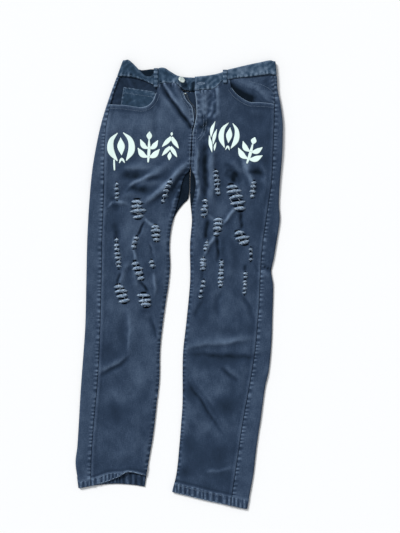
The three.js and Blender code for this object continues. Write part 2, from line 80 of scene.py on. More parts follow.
# Each leg: its edges as (y, x) down the leg, its ends as (x, y), and how deep its hems are turned.
INSEAM_RIGHT = [
    (90, -23), (47, -21.5), (4, -25), (-42, -32), (-97, -39.5), (-155, -45.5), (-227, -47), (-280, -53),
    (-359, -62), (-424, -73), (-487, -83),
]
INSEAM_LEFT = [
    (152, 31), (97, 26.5), (16, 27), (-37, 23), (-95, 17), (-167, 9.5), (-284, 8.5), (-335, 5),
    (-385, 1), (-452, -6), (-496, -16.5),
]
RIGHT = dict(
    side=-1,
    fold=[
        (538, -133), (499, -148), (439, -170), (378, -188), (291, -205), (217, -213), (119, -219),
        (16, -221.5), (-95, -224), (-184, -230), (-251, -235), (-385, -243), (-425, -247.5),
        (-463, -243), (-487, -240),
    ],
    seam=[
        (499, -142), (440, -162), (373, -175), (301, -179), (224, -180), (121, -184), (13, -186),
        (-102, -189), (-217, -194), (-318, -203), (-402, -209.5), (-487, -212),
    ],
    inner=[
        (463, 9), (441, 18), (428, 30), (407, 34.5), (388, 35.5), (364, 31.6), (320, 28.8), (277, 26.2),
        (262, 14), (240, 6), (210, 0), (165, -12), (128, -20),
    ] + INSEAM_RIGHT,
    back_inner=[
        (500, 33), (400, 30), (330, 28), (268, 26), (208, 22.5), (194, 10), (176, -4), (152, -15),
        (120, -21),
    ] + INSEAM_RIGHT,
    mouth=[
        (-166, 431), (-145, 430), (-125, 428.6), (-105, 425.5), (-89, 424), (-73, 429), (-61, 442),
        (-54, 460),
    ],
    waist=[(-52, 476), (-40, 482), (-23, 482), (-6.5, 480), (2, 471), (9, 463)],
    hem_front=[
        (-240, -487), (-205, -480), (-171.5, -470), (-144, -458), (-123.5, -447), (-99.5, -450),
        (-78, -457.5),
    ],
    hem_back=[(-240, -487), (-205, -481), (-155, -476.5), (-110, -479), (-83, -483.5)],
    turned_front=[(-245, 15), (-200, 18), (-168, 20), (-148, 13), (-132, 4), (-122, 2), (-78, 2)],
    turned_back=[(-245, 15), (-212, 17), (-190, 24), (-150, 30), (-83, 30)],
)
HEM_LEFT = [(162.5, -537), (71.5, -517), (-16.5, -495.5)]
TURNED_LEFT = [(-17, 22), (163, 22)]
LEFT = dict(
    side=1,
    fold=[
        (535, 230), (502, 234), (469, 236), (436, 242.5), (391, 248), (349, 248), (301, 246),
        (241, 241), (193, 239), (158, 241), (109, 234), (66, 227), (32, 220.5), (2, 225), (-88, 223),
        (-133, 221.5), (-203, 215), (-244, 206), (-323, 195), (-383, 186), (-452, 178), (-480, 173),
        (-537, 162.5),
    ],
    seam=[
        (502, 227), (469, 228), (432, 229), (385, 228), (337, 226), (301, 225), (248, 222), (198, 215),
        (157, 209.5), (107, 202), (66, 198), (16, 195), (-37, 193), (-83, 189.5), (-160, 182.5),
        (-244, 169), (-335, 152.5), (-426, 139), (-493, 129), (-537, 123),
    ],
    inner=[
        (466, 38), (443, 41), (409, 42.5), (388, 39), (364, 33.2), (320, 31), (277, 29), (262, 37),
        (243, 40.5), (212, 36), (186, 31),
    ] + INSEAM_LEFT,
    back_inner=[
        (500, 33.6), (400, 30.6), (330, 28.8), (268, 27.8), (208, 26.5), (190, 28),
    ] + INSEAM_LEFT,
    mouth=[
        (228, 432), (214, 434), (199, 435.5), (184, 436), (169, 437), (152, 445.5), (135, 458.5),
        (125, 472),
    ],
    waist=[(119.5, 491), (104, 486.5), (94, 477), (84, 468.7), (61, 466.5), (38, 465.5)],
    hem_front=HEM_LEFT,
    hem_back=HEM_LEFT,
    turned_front=TURNED_LEFT,
    turned_back=TURNED_LEFT,
)

# Waistband stations, lower point then top point; the front ones run from the fly out.
BAND_RIGHT = [
    ((48, 465), (48, 496.5)), ((28, 465.5), (28, 497)), ((9, 468), (14, 497.5)), ((2, 474), (4, 498.5)),
    ((-6.5, 480.5), (-6, 501)), ((-23, 482.5), (-20, 510)), ((-40, 482.5), (-36, 519.5)),
    ((-52, 476.5), (-52, 516.5)), ((-66, 481), (-66, 500)), ((-80, 487.5), (-79, 500)),
    ((-95, 493), (-92, 511)), ((-110, 496.5), (-106, 526)), ((-128, 499), (-120, 538)),
    ((-143, 499), (-129, 537.5)),
]
BAND_LEFT = [
    ((38, 466), (38, 498)), ((61, 467), (61, 500)), ((84, 469.2), (82, 503)), ((94, 477.5), (92, 505)),
    ((104, 487), (102, 508)), ((119.5, 491.5), (115, 514)), ((140, 495.5), (138, 520)),
    ((165, 498), (165, 526.5)), ((198, 502), (192, 532)), ((217, 504), (216, 537)), ((229, 502), (226, 535)),
]
BACK_LOW = [(-148, 499), (-100, 484), (-50, 478), (33, 463), (85, 465), (165, 486), (234, 502)]
BACK_HIGH = [(-133, 537), (-97, 516), (-60, 517), (-20, 507), (17, 495), (84, 499), (165, 523), (230, 535)]
YOKE_X, YOKE_Y, YOKE_SLOPE = 31, 398, 0.26
UNDERLAP_DIP = [(-2, 0), (16, 4.4)]

# Folds of the front: a path, its height (a trough below 0), and its half-width on the left and
# on the right of the path's direction.
FOLDS = [
    # the fly, pulled open, with its facing side thrown up, and the deep crease beside it
    ([(-46, 490), (-28, 459), (-11, 432), (12, 402), (42, 362)], -5, 3.5, 8),
    ([(-12, 512), (-6, 470), (8, 436), (25, 398)], 6.5, 12, 10),
    ([(-40, 500), (-28, 468), (-8, 438), (12, 409)], 3.5, 7, 4),
    # the panel beside the fly on the left, folded under its outer side
    ([(92, 500), (89, 460), (88, 415), (82, 375)], 4.2, 26, 6),
    ([(78, 476), (76, 440), (66, 405), (60, 380)], -3, 4, 12),
    ([(60, 396), (78, 386), (92, 372)], -1.6, 8, 8),
    # hips
    ([(138, 430), (172, 402), (214, 392)], -2.2, 14, 18),
    ([(-150, 400), (-110, 380), (-60, 384)], 1.8, 14, 18),
    ([(-60, 424), (-52, 380), (-58, 330)], -1.6, 6, 14),
    ([(-150, 390), (-166, 350), (-170, 300)], 1.8, 10, 14),
    # folds that fan out from the crotch
    ([(26, 300), (14, 284), (-6, 262), (-44, 224), (-84, 198)], 8.5, 8, 12),
    ([(24, 280), (4, 250), (-14, 214), (-22, 176)], -3.6, 5, 12),
    ([(-16, 296), (-64, 262), (-110, 222), (-150, 205)], 4, 14, 10),
    ([(-90, 264), (-110, 262), (-134, 266)], -3.4, 9, 9),
    ([(-130, 225), (-109, 243), (-77, 257), (-54, 268)], 3.4, 6, 5),
    ([(-124, 234), (-96, 227), (-70, 224)], -3.6, 8, 8),
    ([(-80, 248), (-62, 254), (-42, 262)], -2, 5, 5),
    ([(-150, 262), (-120, 280), (-70, 284)], 2.8, 9, 9),
    ([(-164, 214), (-148, 196), (-150, 172)], -2.4, 5, 9),
    ([(43, 345), (43, 262), (46, 200)], 6.5, 5, 7),
    ([(61, 350), (64, 262), (61, 196)], -5.5, 6, 6),
    ([(80, 330), (79, 250), (82, 190)], 5, 8, 13),
    ([(120, 300), (140, 282), (152, 262)], 3, 9, 10),
    ([(112, 276), (132, 262), (146, 240)], -4.4, 10, 11),
    ([(150, 304), (166, 270), (178, 228)], 4.4, 9, 7),
    ([(182, 280), (196, 268), (206, 256)], -3.6, 9, 9),
    ([(196, 300), (206, 250), (204, 200)], 2.4, 7, 10),
    # between the rips
    ([(-84, 150), (-92, 134), (-98, 116)], -3.4, 3, 3),
    ([(-104, 120), (-109, 92), (-102, 52)], 2.6, 4, 4),
    ([(-68, 98), (-64, 78), (-61, 60)], -3, 3, 3),
    ([(-139, 32), (-144, 16), (-148, 4)], -3, 3, 4),
    ([(-94, 10), (-82, -4), (-74, -18)], -3, 3, 4),
    ([(-60, 30), (-57, 0), (-60, -20)], 2.6, 5, 4),
    ([(-173, 173), (-151, 199), (-118, 193)], 2.6, 5, 5),
    ([(-84, 156), (-70, 146), (-58, 142)], 2.4, 4, 4),
    ([(-160, 150), (-146, 128), (-146, 104)], -2.8, 8, 10),
    ([(-120, 60), (-136, 20), (-146, -6)], 2.6, 8, 10),
    ([(-100, 46), (-104, 20), (-100, -10)], 2.2, 6, 8),
    ([(142, 190), (122, 168), (103, 146)], 3, 5, 5),
    ([(148, 175), (149, 150), (148, 130)], -3.6, 4, 4),
    ([(92, 120), (93, 88), (92, 56)], -3.6, 4, 4),
    ([(67, 158), (66, 132), (64, 106)], -3.6, 5, 5),
    ([(89, 120), (66, 84), (60, 70)], 3, 4, 5),
    ([(176, 94), (172, 70), (174, 52)], -3, 3.5, 3.5),
    ([(116, 110), (122, 60), (118, 10)], 2.2, 12, 12),
    ([(56, 36), (58, 14), (56, -6)], -2, 4, 4),
    ([(150, -28), (170, -52), (178, -84)], -2.4, 5, 9),
    ([(104, -10), (92, -40), (98, -80)], -1.8, 6, 8),
    ([(60, -36), (46, -58), (40, -84)], -2, 6, 6),
    # knees and shins
    ([(-121, -50), (-118, -120), (-120, -172)], 2.5, 24, 5),
    ([(-134, -60), (-140, -110), (-132, -160)], -1.2, 10, 12),
    ([(-68, -70), (-62, -100), (-54, -130)], -1.5, 5, 12),
    ([(-120, -164), (-150, -186), (-196, -210)], 2.6, 5, 12),
    ([(-124, -178), (-150, -200), (-192, -222)], -1.2, 4, 10),
    ([(-168, -262), (-150, -305), (-132, -340)], -1.2, 12, 16),
    ([(-120, -300), (-104, -350), (-110, -400)], 1.1, 14, 16),
    ([(8, -150), (60, -142), (120, -136), (176, -128)], 3.1, 13, 6),
    ([(10, -168), (80, -168), (150, -172), (210, -166)], -1.9, 6, 10),
    ([(20, -226), (42, -262), (70, -304), (106, -356)], -2, 4, 13),
    ([(34, -216), (60, -256), (92, -300), (120, -346)], 1.9, 16, 6),
    ([(8, -250), (30, -300), (56, -346)], 1.5, 12, 12),
    ([(98, -196), (118, -212), (142, -233)], -1.6, 4, 9),
    ([(104, -188), (124, -204), (148, -224)], 1.1, 8, 5),
    ([(60, -74), (110, -96), (150, -92)], 1.4, 14, 16),
    ([(150, -176), (148, -240), (140, -290)], 1.2, 16, 12),
    ([(196, 50), (212, 38), (224, 34)], -2.2, 5, 5),
    ([(190, 20), (206, 26), (222, 22)], 1.6, 6, 8),
    ([(58, -448), (96, -444), (130, -440)], 1.6, 6, 6),
    ([(0, -420), (40, -452), (70, -490)], 1.1, 12, 14),
    ([(-190, -380), (-150, -410), (-112, -400)], 1.2, 14, 14),
    # the right hem, arched up off the back
    ([(-158, -470), (-124, -462), (-84, -468)], 6, 30, 30),
]

# Painted shade in creases, hollows and slits, and wear with painted highlights on ridges, along lines: a
# path, its half-width, and how much paler (or darker, below 0) it is.
WEAR_AND_PAINTED_LIGHT_LINES = [
    ([(-46, 490), (-28, 459), (-11, 432), (12, 402), (40, 364)], 4, -1.0),
    ([(-38, 486), (-22, 458), (-4, 431), (16, 402)], 5, 0.3),
    ([(87, 474), (87, 436), (85, 417), (79, 407)], 3, -1.2),
    ([(46, 364), (60, 382), (71, 395), (81, 410)], 9, -1.2),
    ([(94, 485), (93, 444), (91.5, 416), (86, 396)], 4, 0.6),
    ([(-50, 470), (-48, 445), (-50, 420)], 4, -0.31), ([(61, 352), (64, 262), (61, 196)], 7, -0.87),
    ([(44, 345), (44, 262), (47, 200)], 6, 0.25), ([(20, 262), (6, 232), (-8, 200)], 7, -0.62),
    ([(28, 306), (14, 288), (-6, 266), (-44, 230), (-80, 206)], 4, 0.28),
    ([(-84, 150), (-92, 134), (-98, 116)], 2.6, -0.81),
    ([(-104, 120), (-109, 92), (-108, 66), (-101, 50)], 2.2, 0.8),
    ([(-66, 106), (-64, 80), (-61, 60)], 2.2, 0.65), ([(-139, 32), (-144, 16), (-148, 4)], 2.6, -0.81),
    ([(-94, 10), (-82, -4), (-74, -18)], 2.4, -0.74), ([(-60, 34), (-57, 0), (-60, -26)], 2.2, 0.6),
    ([(-172, 182), (-151, 203), (-116, 191)], 2.6, 0.6), ([(-84, 160), (-70, 148), (-56, 142)], 2.4, 0.6),
    ([(142, 190), (122, 168), (103, 146)], 2.6, 0.65), ([(148, 175), (149, 150), (148, 130)], 4, -0.68),
    ([(92, 120), (93, 88), (92, 56)], 3.5, -0.81), ([(67, 158), (66, 132), (64, 106)], 5, -0.81),
    ([(92, 128), (66, 84), (58, 66)], 2.4, 0.75), ([(176, 94), (172, 70), (174, 52)], 2.6, -0.68),
    ([(68, 170), (84, 156), (98, 142)], 2.4, 0.5), ([(-118, -60), (-119, -110), (-121, -160)], 3, 0.22),
    ([(-68, -70), (-62, -100), (-54, -130)], 3, -0.5),
    ([(-124, -172), (-150, -194), (-190, -217)], 3, -0.43),
    ([(-122, -166), (-150, -187), (-190, -209)], 4, 0.19),
    ([(12, -148), (90, -137), (172, -128)], 5, 0.19),
    ([(12, -168), (80, -168), (150, -172), (208, -166)], 5, -0.43),
    ([(20, -228), (42, -264), (70, -306), (106, -356)], 3, -0.62),
    ([(98, -197), (118, -213), (141, -233)], 2.4, -0.5), ([(58, -446), (96, -442), (130, -437)], 3, 0.28),
    ([(-66, -70), (-78, -60), (-96, -66)], 4, -0.37), ([(-152, 132), (-150, 120), (-148, 108)], 4, -0.8),
    ([(-172, 178), (-156, 192), (-150, 200)], 3, -0.4), ([(-146, 36), (-120, 40), (-112, 30)], 5, -0.35),
    ([(66, 168), (74, 158), (84, 152)], 2.4, 0.4), ([(158, 50), (160, 42), (158, 34)], 4, -0.9),
    ([(104, 66), (106, 90), (110, 118)], 6, -0.4), ([(180, 60), (186, 44), (190, 30)], 4, -0.4),
    ([(-60, 26), (-68, 60), (-72, 92)], 3, -0.3), ([(50, 352), (58, 344), (68, 346)], 2.4, 0.5),
    ([(50, 362), (55, 370), (62, 366)], 2.4, 0.45), ([(106, 286), (120, 288), (132, 282)], 4, -0.5),
    ([(142, 272), (132, 260), (127, 244)], 6, -1.0), ([(104, 272), (118, 273), (128, 267)], 4, 0.35),
    ([(160, 276), (174, 268), (188, 274), (202, 264)], 5, -0.7),
    ([(150, 288), (160, 264), (175, 246)], 3.5, 0.4),
    ([(-128, 226), (-109, 243), (-77, 257), (-56, 267)], 4, 0.35),
    ([(-128, 283), (-92, 278), (-66, 285)], 3, 0.3), ([(-154, 199), (-172, 177)], 3, -0.6),
    ([(40, 458), (40, 482), (40, 506)], 2, 0.9), ([(12, 476), (24, 482), (36, 476)], 6, -0.6),
    ([(-40, 482), (-20, 476), (-2, 466)], 3, -0.5), ([(-28, 452), (-14, 436), (2, 412)], 7, 0.2),
]

# Rips: ladders of cross cuts with frayed bars between them. Each has its two ends, its width and the
# number of its bars.
RIPS_RIGHT = [
    ((-149, 246), (-148, 202), 9, 4), ((-100, 206), (-98, 158), 37, 4), ((-19, 252), (-40, 196), 13, 5),
    ((-57, 144), (-54, 104), 22, 4), ((-101, 118), (-109, 86), 13, 3), ((-106, 58), (-88, 12), 22, 4),
    ((-150, 112), (-144, 38), 13, 7), ((-146, 2), (-130, -44), 28, 4), ((-66, 61), (-61, 40), 12, 2),
    ((-84, -18), (-78, -54), 34, 3),
]
RIPS_LEFT = [
    ((88, 276), (94, 214), 13, 6), ((124, 242), (148, 176), 34, 5), ((180, 250), (175, 208), 13, 4),
    ((64, 206), (60, 162), 15, 4), ((97, 160), (90, 118), 24, 4), ((140, 130), (160, 96), 33, 3),
    ((68, 106), (62, 82), 9, 3), ((59, 66), (57, 34), 14, 4), ((102, 60), (99, -6), 14, 7),
    ((172, 92), (172, 56), 7, 3), ((159, 32), (157, -24), 9, 6), ((60, 14), (50, -32), 9, 4),
]
CUT_GAPE, NARROW_GAPE = 4.4, 3.08
NARROW = 18  # a ladder of less width than this has narrow gapes
CUT_REACH = (-20, 60)  # from under the cloth to over every fold
# A cut's outline, one unit from its middle each way.
LENS = [(-1, 0), (-0.6, -0.75), (0, -1), (0.6, -0.75), (1, 0), (0.6, 0.75), (0, 1), (-0.6, 0.75)]
INSIDE_PAINTED_SHADE = -1.15  # painted shade: the cloth inside, made dark as if in shadow, and never faded
ARCH_SHADE, ARCH_FROM = 0.5, -195  # the right hem's arch shades the back's hem from here to the inseam
PUCKER = 11.0  # from one pucker of a seam to the next

# The pocket bearers run a little further under the sides than the model they follow.
BEARER_RIGHT = [
    (-170, 418), (-124, 414), (-88, 409), (-66, 414), (-50, 430), (-41, 455), (-40, 487), (-53, 482),
    (-66, 487), (-80, 493.5), (-95, 499), (-110, 502), (-128, 504), (-145, 504), (-156, 472),
    (-166, 440),
]
COIN_POCKET = [(-133, 474), (-58, 463), (-56, 440), (-64, 424), (-100, 417), (-141, 421)]
BEARER_LEFT = [
    (229, 419), (199, 421), (165, 423), (144, 432), (124, 448), (112, 468), (108, 494), (119, 497.5),
    (140, 501.5), (165, 504), (198, 508), (217, 509), (228, 508), (229.5, 469),
]
BACK_POCKET = [(-66, 0), (66, 0), (62, -120), (0, -150), (-62, -120)]
BACK_POCKET_AT = dict(right=(-68, 396), left=(136, 396))
# How far under the middle of the fronts the undersides of pieces lie, and the middle of a tape.
BEARER_DROP, COIN_POCKET_DROP, FLY_SHIELD_DROP, TAPE_DROP, TEETH_DROP = 3.8, 2.2, 4.2, 2.3, 1.8
FLY_SHIELD = [(4, 462.5), (60, 461.5), (58, 410), (46, 392), (28, 392), (22, 410), (10, 440)]
# The zip tapes' long edges, from the top down.
TAPE_RIGHT_OUT = [(6, 461), (13, 438), (24, 424), (29, 405), (30, 389)]
TAPE_RIGHT_IN = [(17, 461), (24, 441), (35, 428), (41, 407), (41, 389)]
TAPE_LEFT_IN = [(43.5, 461), (46, 409), (43, 389)]
TAPE_LEFT_OUT = [(55, 461), (57, 407), (50, 389)]
FRONT_LOOPS = dict(front_right=(-55, 473, 518), front_left=(110, 482, 514))
BACK_LOOPS = dict(side_right=(-98, 474, 517), back=(33, 454, 496), side_left=(165, 478, 522))


# ------------------------------------------------------------------ curves and heights
def lerp(a, b, t):
    return a + (b - a) * t


def smoothstep(x, low, high):
    t = np.clip((x - low) / (high - low), 0, 1)
    return t * t * (3 - 2 * t)


def through(pairs):
    """A smooth function through (at, value) pairs, held level beyond its ends."""
    p = np.array(sorted(pairs), float)
    before, after = np.vstack([p[:1], p[:-1]]), np.vstack([p[1:], p[-1:]])
    slope = (after[:, 1] - before[:, 1]) / (after[:, 0] - before[:, 0])

    def value(at):
        x = np.clip(np.asarray(at, float), p[0, 0], p[-1, 0])
        i = np.clip(np.searchsorted(p[:, 0], x), 1, len(p) - 1)
        wide = p[i, 0] - p[i - 1, 0]
        t = (x - p[i - 1, 0]) / wide
        eased = lerp(p[i - 1, 1], p[i, 1], t * t * (3 - 2 * t))
        return eased + wide * t * (1 - t) * (slope[i - 1] * (1 - t) - slope[i] * t)

    return value


def curve(points):
    """A smooth plane curve through points, at 0 to 1 along their numbering."""
    at = np.linspace(0, 1, len(points))
    fx = through([(t, p[0]) for t, p in zip(at, points)])
    fy = through([(t, p[1]) for t, p in zip(at, points)])
    return lambda t: (fx(t), fy(t))


def walk(points, step):
    """Points a step apart along a smooth curve through the given ones."""
    x, y = curve(points)(np.linspace(0, 1, 60 * len(points)))
    run = np.concatenate([[0], np.cumsum(np.hypot(np.diff(x), np.diff(y)))])
    at = np.linspace(0, run[-1], max(2, round(run[-1] / step) + 1))
    return np.column_stack([np.interp(at, run, x), np.interp(at, run, y)])


def nearest(path, x, y):
    """Distance from a path, share of the way along it, and whether (x, y) is on its left."""
    far = np.full(np.shape(x), np.inf)
    share = np.zeros(np.shape(x))
    left = np.zeros(np.shape(x), bool)
    last = len(path) - 1
    for i in range(last):
        (ax, ay), (bx, by) = path[i], path[i + 1]
        dx, dy = bx - ax, by - ay
        t = np.clip(((x - ax) * dx + (y - ay) * dy) / (dx * dx + dy * dy), 0, 1)
        apart = np.hypot(x - ax - t * dx, y - ay - t * dy)
        nearer = apart < far
        far = np.where(nearer, apart, far)
        share = np.where(nearer, (i + t) / last, share)
        left = np.where(nearer, dx * (y - ay) - dy * (x - ax) > 0, left)
    return far, share, left


def smooth_path(points):
    return [tuple(p) for p in walk(points, 14)]


def ridge(path, amount, wide_left, wide_right, fade, x, y):
    """A soft ridge along a path (a trough if amount is below 0) that fades at the path's ends."""
    x, y = np.broadcast_arrays(np.asarray(x, float), np.asarray(y, float))
    reach = 3 * max(wide_left, wide_right)
    px, py = np.array(path).T
    close = (x > px.min() - reach) & (x < px.max() + reach)
    close = close & (y > py.min() - reach) & (y < py.max() + reach)
    out = np.zeros(x.shape)
    if close.any():
        far, share, left = nearest(path, x[close], y[close])
        faded = smoothstep(share, *fade) * smoothstep(1 - share, *fade)
        out[close] = amount * faded * np.exp(-((far / np.where(left, wide_left, wide_right)) ** 2))
    return out


def fold_lift(fold, x, y):
    """How far a fold lifts the cloth at (x, y)."""
    return ridge(*fold, (-0.12, 0.3), x, y)


def wander(x, y):
    """(x, y) moved a little, so that folds and the lines of wear and painted shade waver as real ones do."""
    dx = 1.3 * np.sin(y / 13.7 + 0.7 * np.sin(x / 17)) + 0.6 * np.sin(y / 4.9 + x / 11)
    dy = 1.3 * np.sin(x / 12.9 + 0.9 * np.sin(y / 15)) + 0.6 * np.sin(x / 5.3 - y / 13)
    return x + dx, y + dy


class Field:
    """A function of (x, y), worked out once on a fine grid and read between the grid's points."""

    def __init__(self, function, step=1.6, half_wide=264, half_long=552):
        self.step, self.low = step, (-half_wide, -half_long)
        xs, ys = (np.arange(-half, half + step, step) for half in (half_wide, half_long))
        self.values = function(*np.meshgrid(xs, ys, indexing="ij"))

    def __call__(self, x, y):
        i, j = ((np.asarray(v, float) - low) / self.step for v, low in zip((x, y), self.low))
        i, j = (np.clip(v, 0, size - 1.001) for v, size in zip((i, j), self.values.shape))
        a, b = i.astype(int), j.astype(int)
        s, t, grid = i - a, j - b, self.values
        lower = lerp(grid[a, b], grid[a + 1, b], s)
        return lerp(lower, lerp(grid[a, b + 1], grid[a + 1, b + 1], s), t)


def wrinkle(x, y):
    """Small soft unevenness of worn cloth, about half a millimetre."""
    waves = (
        np.sin(x / 17.0 + 1.7 * np.sin(y / 61.0))
        + np.sin(y / 29.0 + 1.3 * np.sin(x / 37.0) + 2.0)
        + 0.7 * np.sin((x + 0.6 * y) / 11.0 + np.sin(y / 19.0))
        + 0.6 * np.sin((0.5 * x - y) / 13.0 + 1.4 * np.sin(x / 23.0))
    )
    return 0.22 * waves


level = through(FRONT_RISE)
back_low, back_high = through(BACK_LOW), through(BACK_HIGH)
underlap_dip = through(UNDERLAP_DIP)
SMOOTH_FOLDS = [(smooth_path(path), *rest) for path, *rest in FOLDS]


def yoke_seam(x):
    return YOKE_Y + YOKE_SLOPE * np.abs(x - YOKE_X)


def back_height(y):
    return DENIM / 2 + SEAT_LIFT * smoothstep(y, SEAT_START, SEAT_END)


def folded_front(x, y):
    """Middle height of the fronts' cloth, with its folds and its puffed rips, clear of the back."""
    z = level(y) + wrinkle(x, y)
    wx, wy = wander(x, y)
    for fold in SMOOTH_FOLDS:
        z = z + fold_lift(fold, wx, wy)
    for start, end, width, _ in RIPS_RIGHT + RIPS_LEFT:
        reach = width * 0.45 + 3
        z = z + fold_lift(([start, end], 1.6, reach, reach), x, y)
    return np.maximum(z, back_height(y) + DENIM + INSEAM_GAP)


front_height = Field(folded_front)


def panel_height(leg, x, y):
    """Middle height of a front, rolled down beside the inseam and raised at the outseam's felling."""
    inner, seam = through(leg["inner"])(y), through(leg["seam"])(y)
    thick = np.where(y < hem_line(leg, "hem_front", x), HEM, DENIM)
    low = thick * 1.5 + INSEAM_GAP + back_height(y) - DENIM / 2
    clear = smoothstep(np.abs(inner - x) / INSEAM_ROLL, 0, 1)
    above = smoothstep(y, CROTCH - 60, CROTCH)
    felled = FELLED * smoothstep(FELLED_WIDE - np.abs(x - seam), 0, 2) * (y < FELLED_TO)
    return lerp(low, front_height(x, y) + felled, np.maximum(clear, above))


def underlap_height(x, y):
    """The button end of the waistband, which dips under the other end."""
    return front_height(x, y) - underlap_dip(x)


def raised(height, by):
    """The height of something that lies a fixed distance over something else."""
    return lambda *at: height(*at) + by


def under_front(drop):
    """The height of something that lies a fixed distance under the middle of the fronts."""
    return lambda x, y: level(y) - drop


def on_floor(x, y):
    return 0 * x


def hem_line(leg, side, x):
    return through(leg[side])(x) + HEM_DEPTH


# ------------------------------------------------------------------ meshes
def wall_mesh(grid, thick):
    """A closed wall about the middle surface grid[column, row], as points and faces."""
    columns, rows = grid.shape[:2]
    out = np.cross(np.gradient(grid, axis=0), np.gradient(grid, axis=1))
    out /= np.linalg.norm(out, axis=2, keepdims=True)
    half = np.broadcast_to(np.asarray(thick, float), (columns, rows))[..., None] / 2
    points = np.concatenate([(grid + out * half).reshape(-1, 3), (grid - out * half).reshape(-1, 3)])
    index = np.arange(columns * rows).reshape(columns, rows)
    a, b, c, d = index[:-1, :-1], index[1:, :-1], index[1:, 1:], index[:-1, 1:]
    top = np.stack([a, b, c, d], -1).reshape(-1, 4)
    under = top[:, ::-1] + columns * rows
    loop = np.concatenate([index[:-1, 0], index[-1, :-1], index[:0:-1, -1], index[0, :0:-1]])
    following = np.roll(loop, -1)
    rim = np.stack([following, loop, loop + columns * rows, following + columns * rows], -1)
    return points, np.concatenate([top, under, rim]), len(rim)


def piece(name, points, faces, material, values=None, rebuilt=False, flat_faces=0, smooth=True):
    """A finished object from points in millimetres; values are floats on its points.

    A rebuilt piece takes the place of the frame's node of the same name.
    """
    mesh = bpy.data.meshes.new(name)
    mesh.from_pydata((np.asarray(points) * MM).tolist(), [], [list(map(int, f)) for f in faces])
    uv = mesh.uv_layers.new(name="cloth")
    corners = np.zeros(len(mesh.loops), np.int32)
    mesh.loops.foreach_get("vertex_index", corners)
    uv.data.foreach_set("uv", (np.asarray(points)[corners, :2] * MM).astype(np.float32).ravel())
    for key, given in (dict(tone=0.0, seam=FAR, run=0.0) | (values or {})).items():
        layer = mesh.attributes.new(key, "FLOAT", "POINT")
        layer.data.foreach_set("value", np.broadcast_to(given, (len(points),)).astype(np.float32))
    shading = np.full(len(mesh.polygons), smooth)
    if flat_faces:
        shading[-flat_faces:] = False
    mesh.polygons.foreach_set("use_smooth", shading)
    mesh.materials.append(material)
    mesh.validate()
    mesh.update()
    obj = bpy.data.objects.new(name + "_cloth" if rebuilt else name, mesh)
    bpy.context.scene.collection.objects.link(obj)
    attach(obj, "root")
    if rebuilt:
        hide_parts(name)
    return obj


def both(values):
    """The same values for a wall's two faces."""
    return np.concatenate([np.ravel(values)] * 2)


def walled(name, grid, thick, material, slot, **values):
    """A rebuilt piece that is a closed wall of cloth, with values given at its grid's points."""
    points, faces, rim = wall_mesh(grid, thick)
    on_points = {key: both(np.broadcast_to(given, grid.shape[:2])) for key, given in values.items()}
    return piece(name, points, faces, material, on_points, True, rim)


def moved(points, x, y, angle):
    """Points in axes of their own, turned by an angle and moved to (x, y)."""
    points = np.array(points, float)
    px, py = points[:, 0].copy(), points[:, 1].copy()
    c, s = math.cos(angle), math.sin(angle)
    points[:, 0], points[:, 1] = x + px * c - py * s, y + px * s + py * c
    return points


def prism(first, sides, clockwise=False):
    """Faces of a prism whose lower and upper rings of points are numbered on from first."""
    faces = [[first + k for k in reversed(range(sides))], [first + sides + k for k in range(sides)]]
    for k in range(sides):
        a, b = first + k, first + (k + 1) % sides
        faces.append([a, b, b + sides, a + sides])
    return [face[::-1] for face in faces] if clockwise else faces


def crest(height, x, y, reach):
    """How much (x, y) stands above the cloth around it, in millimetres."""
    around = (height(x - reach, y) + height(x + reach, y) + height(x, y - reach) + height(x, y + reach)) / 4
    return height(x, y) - around
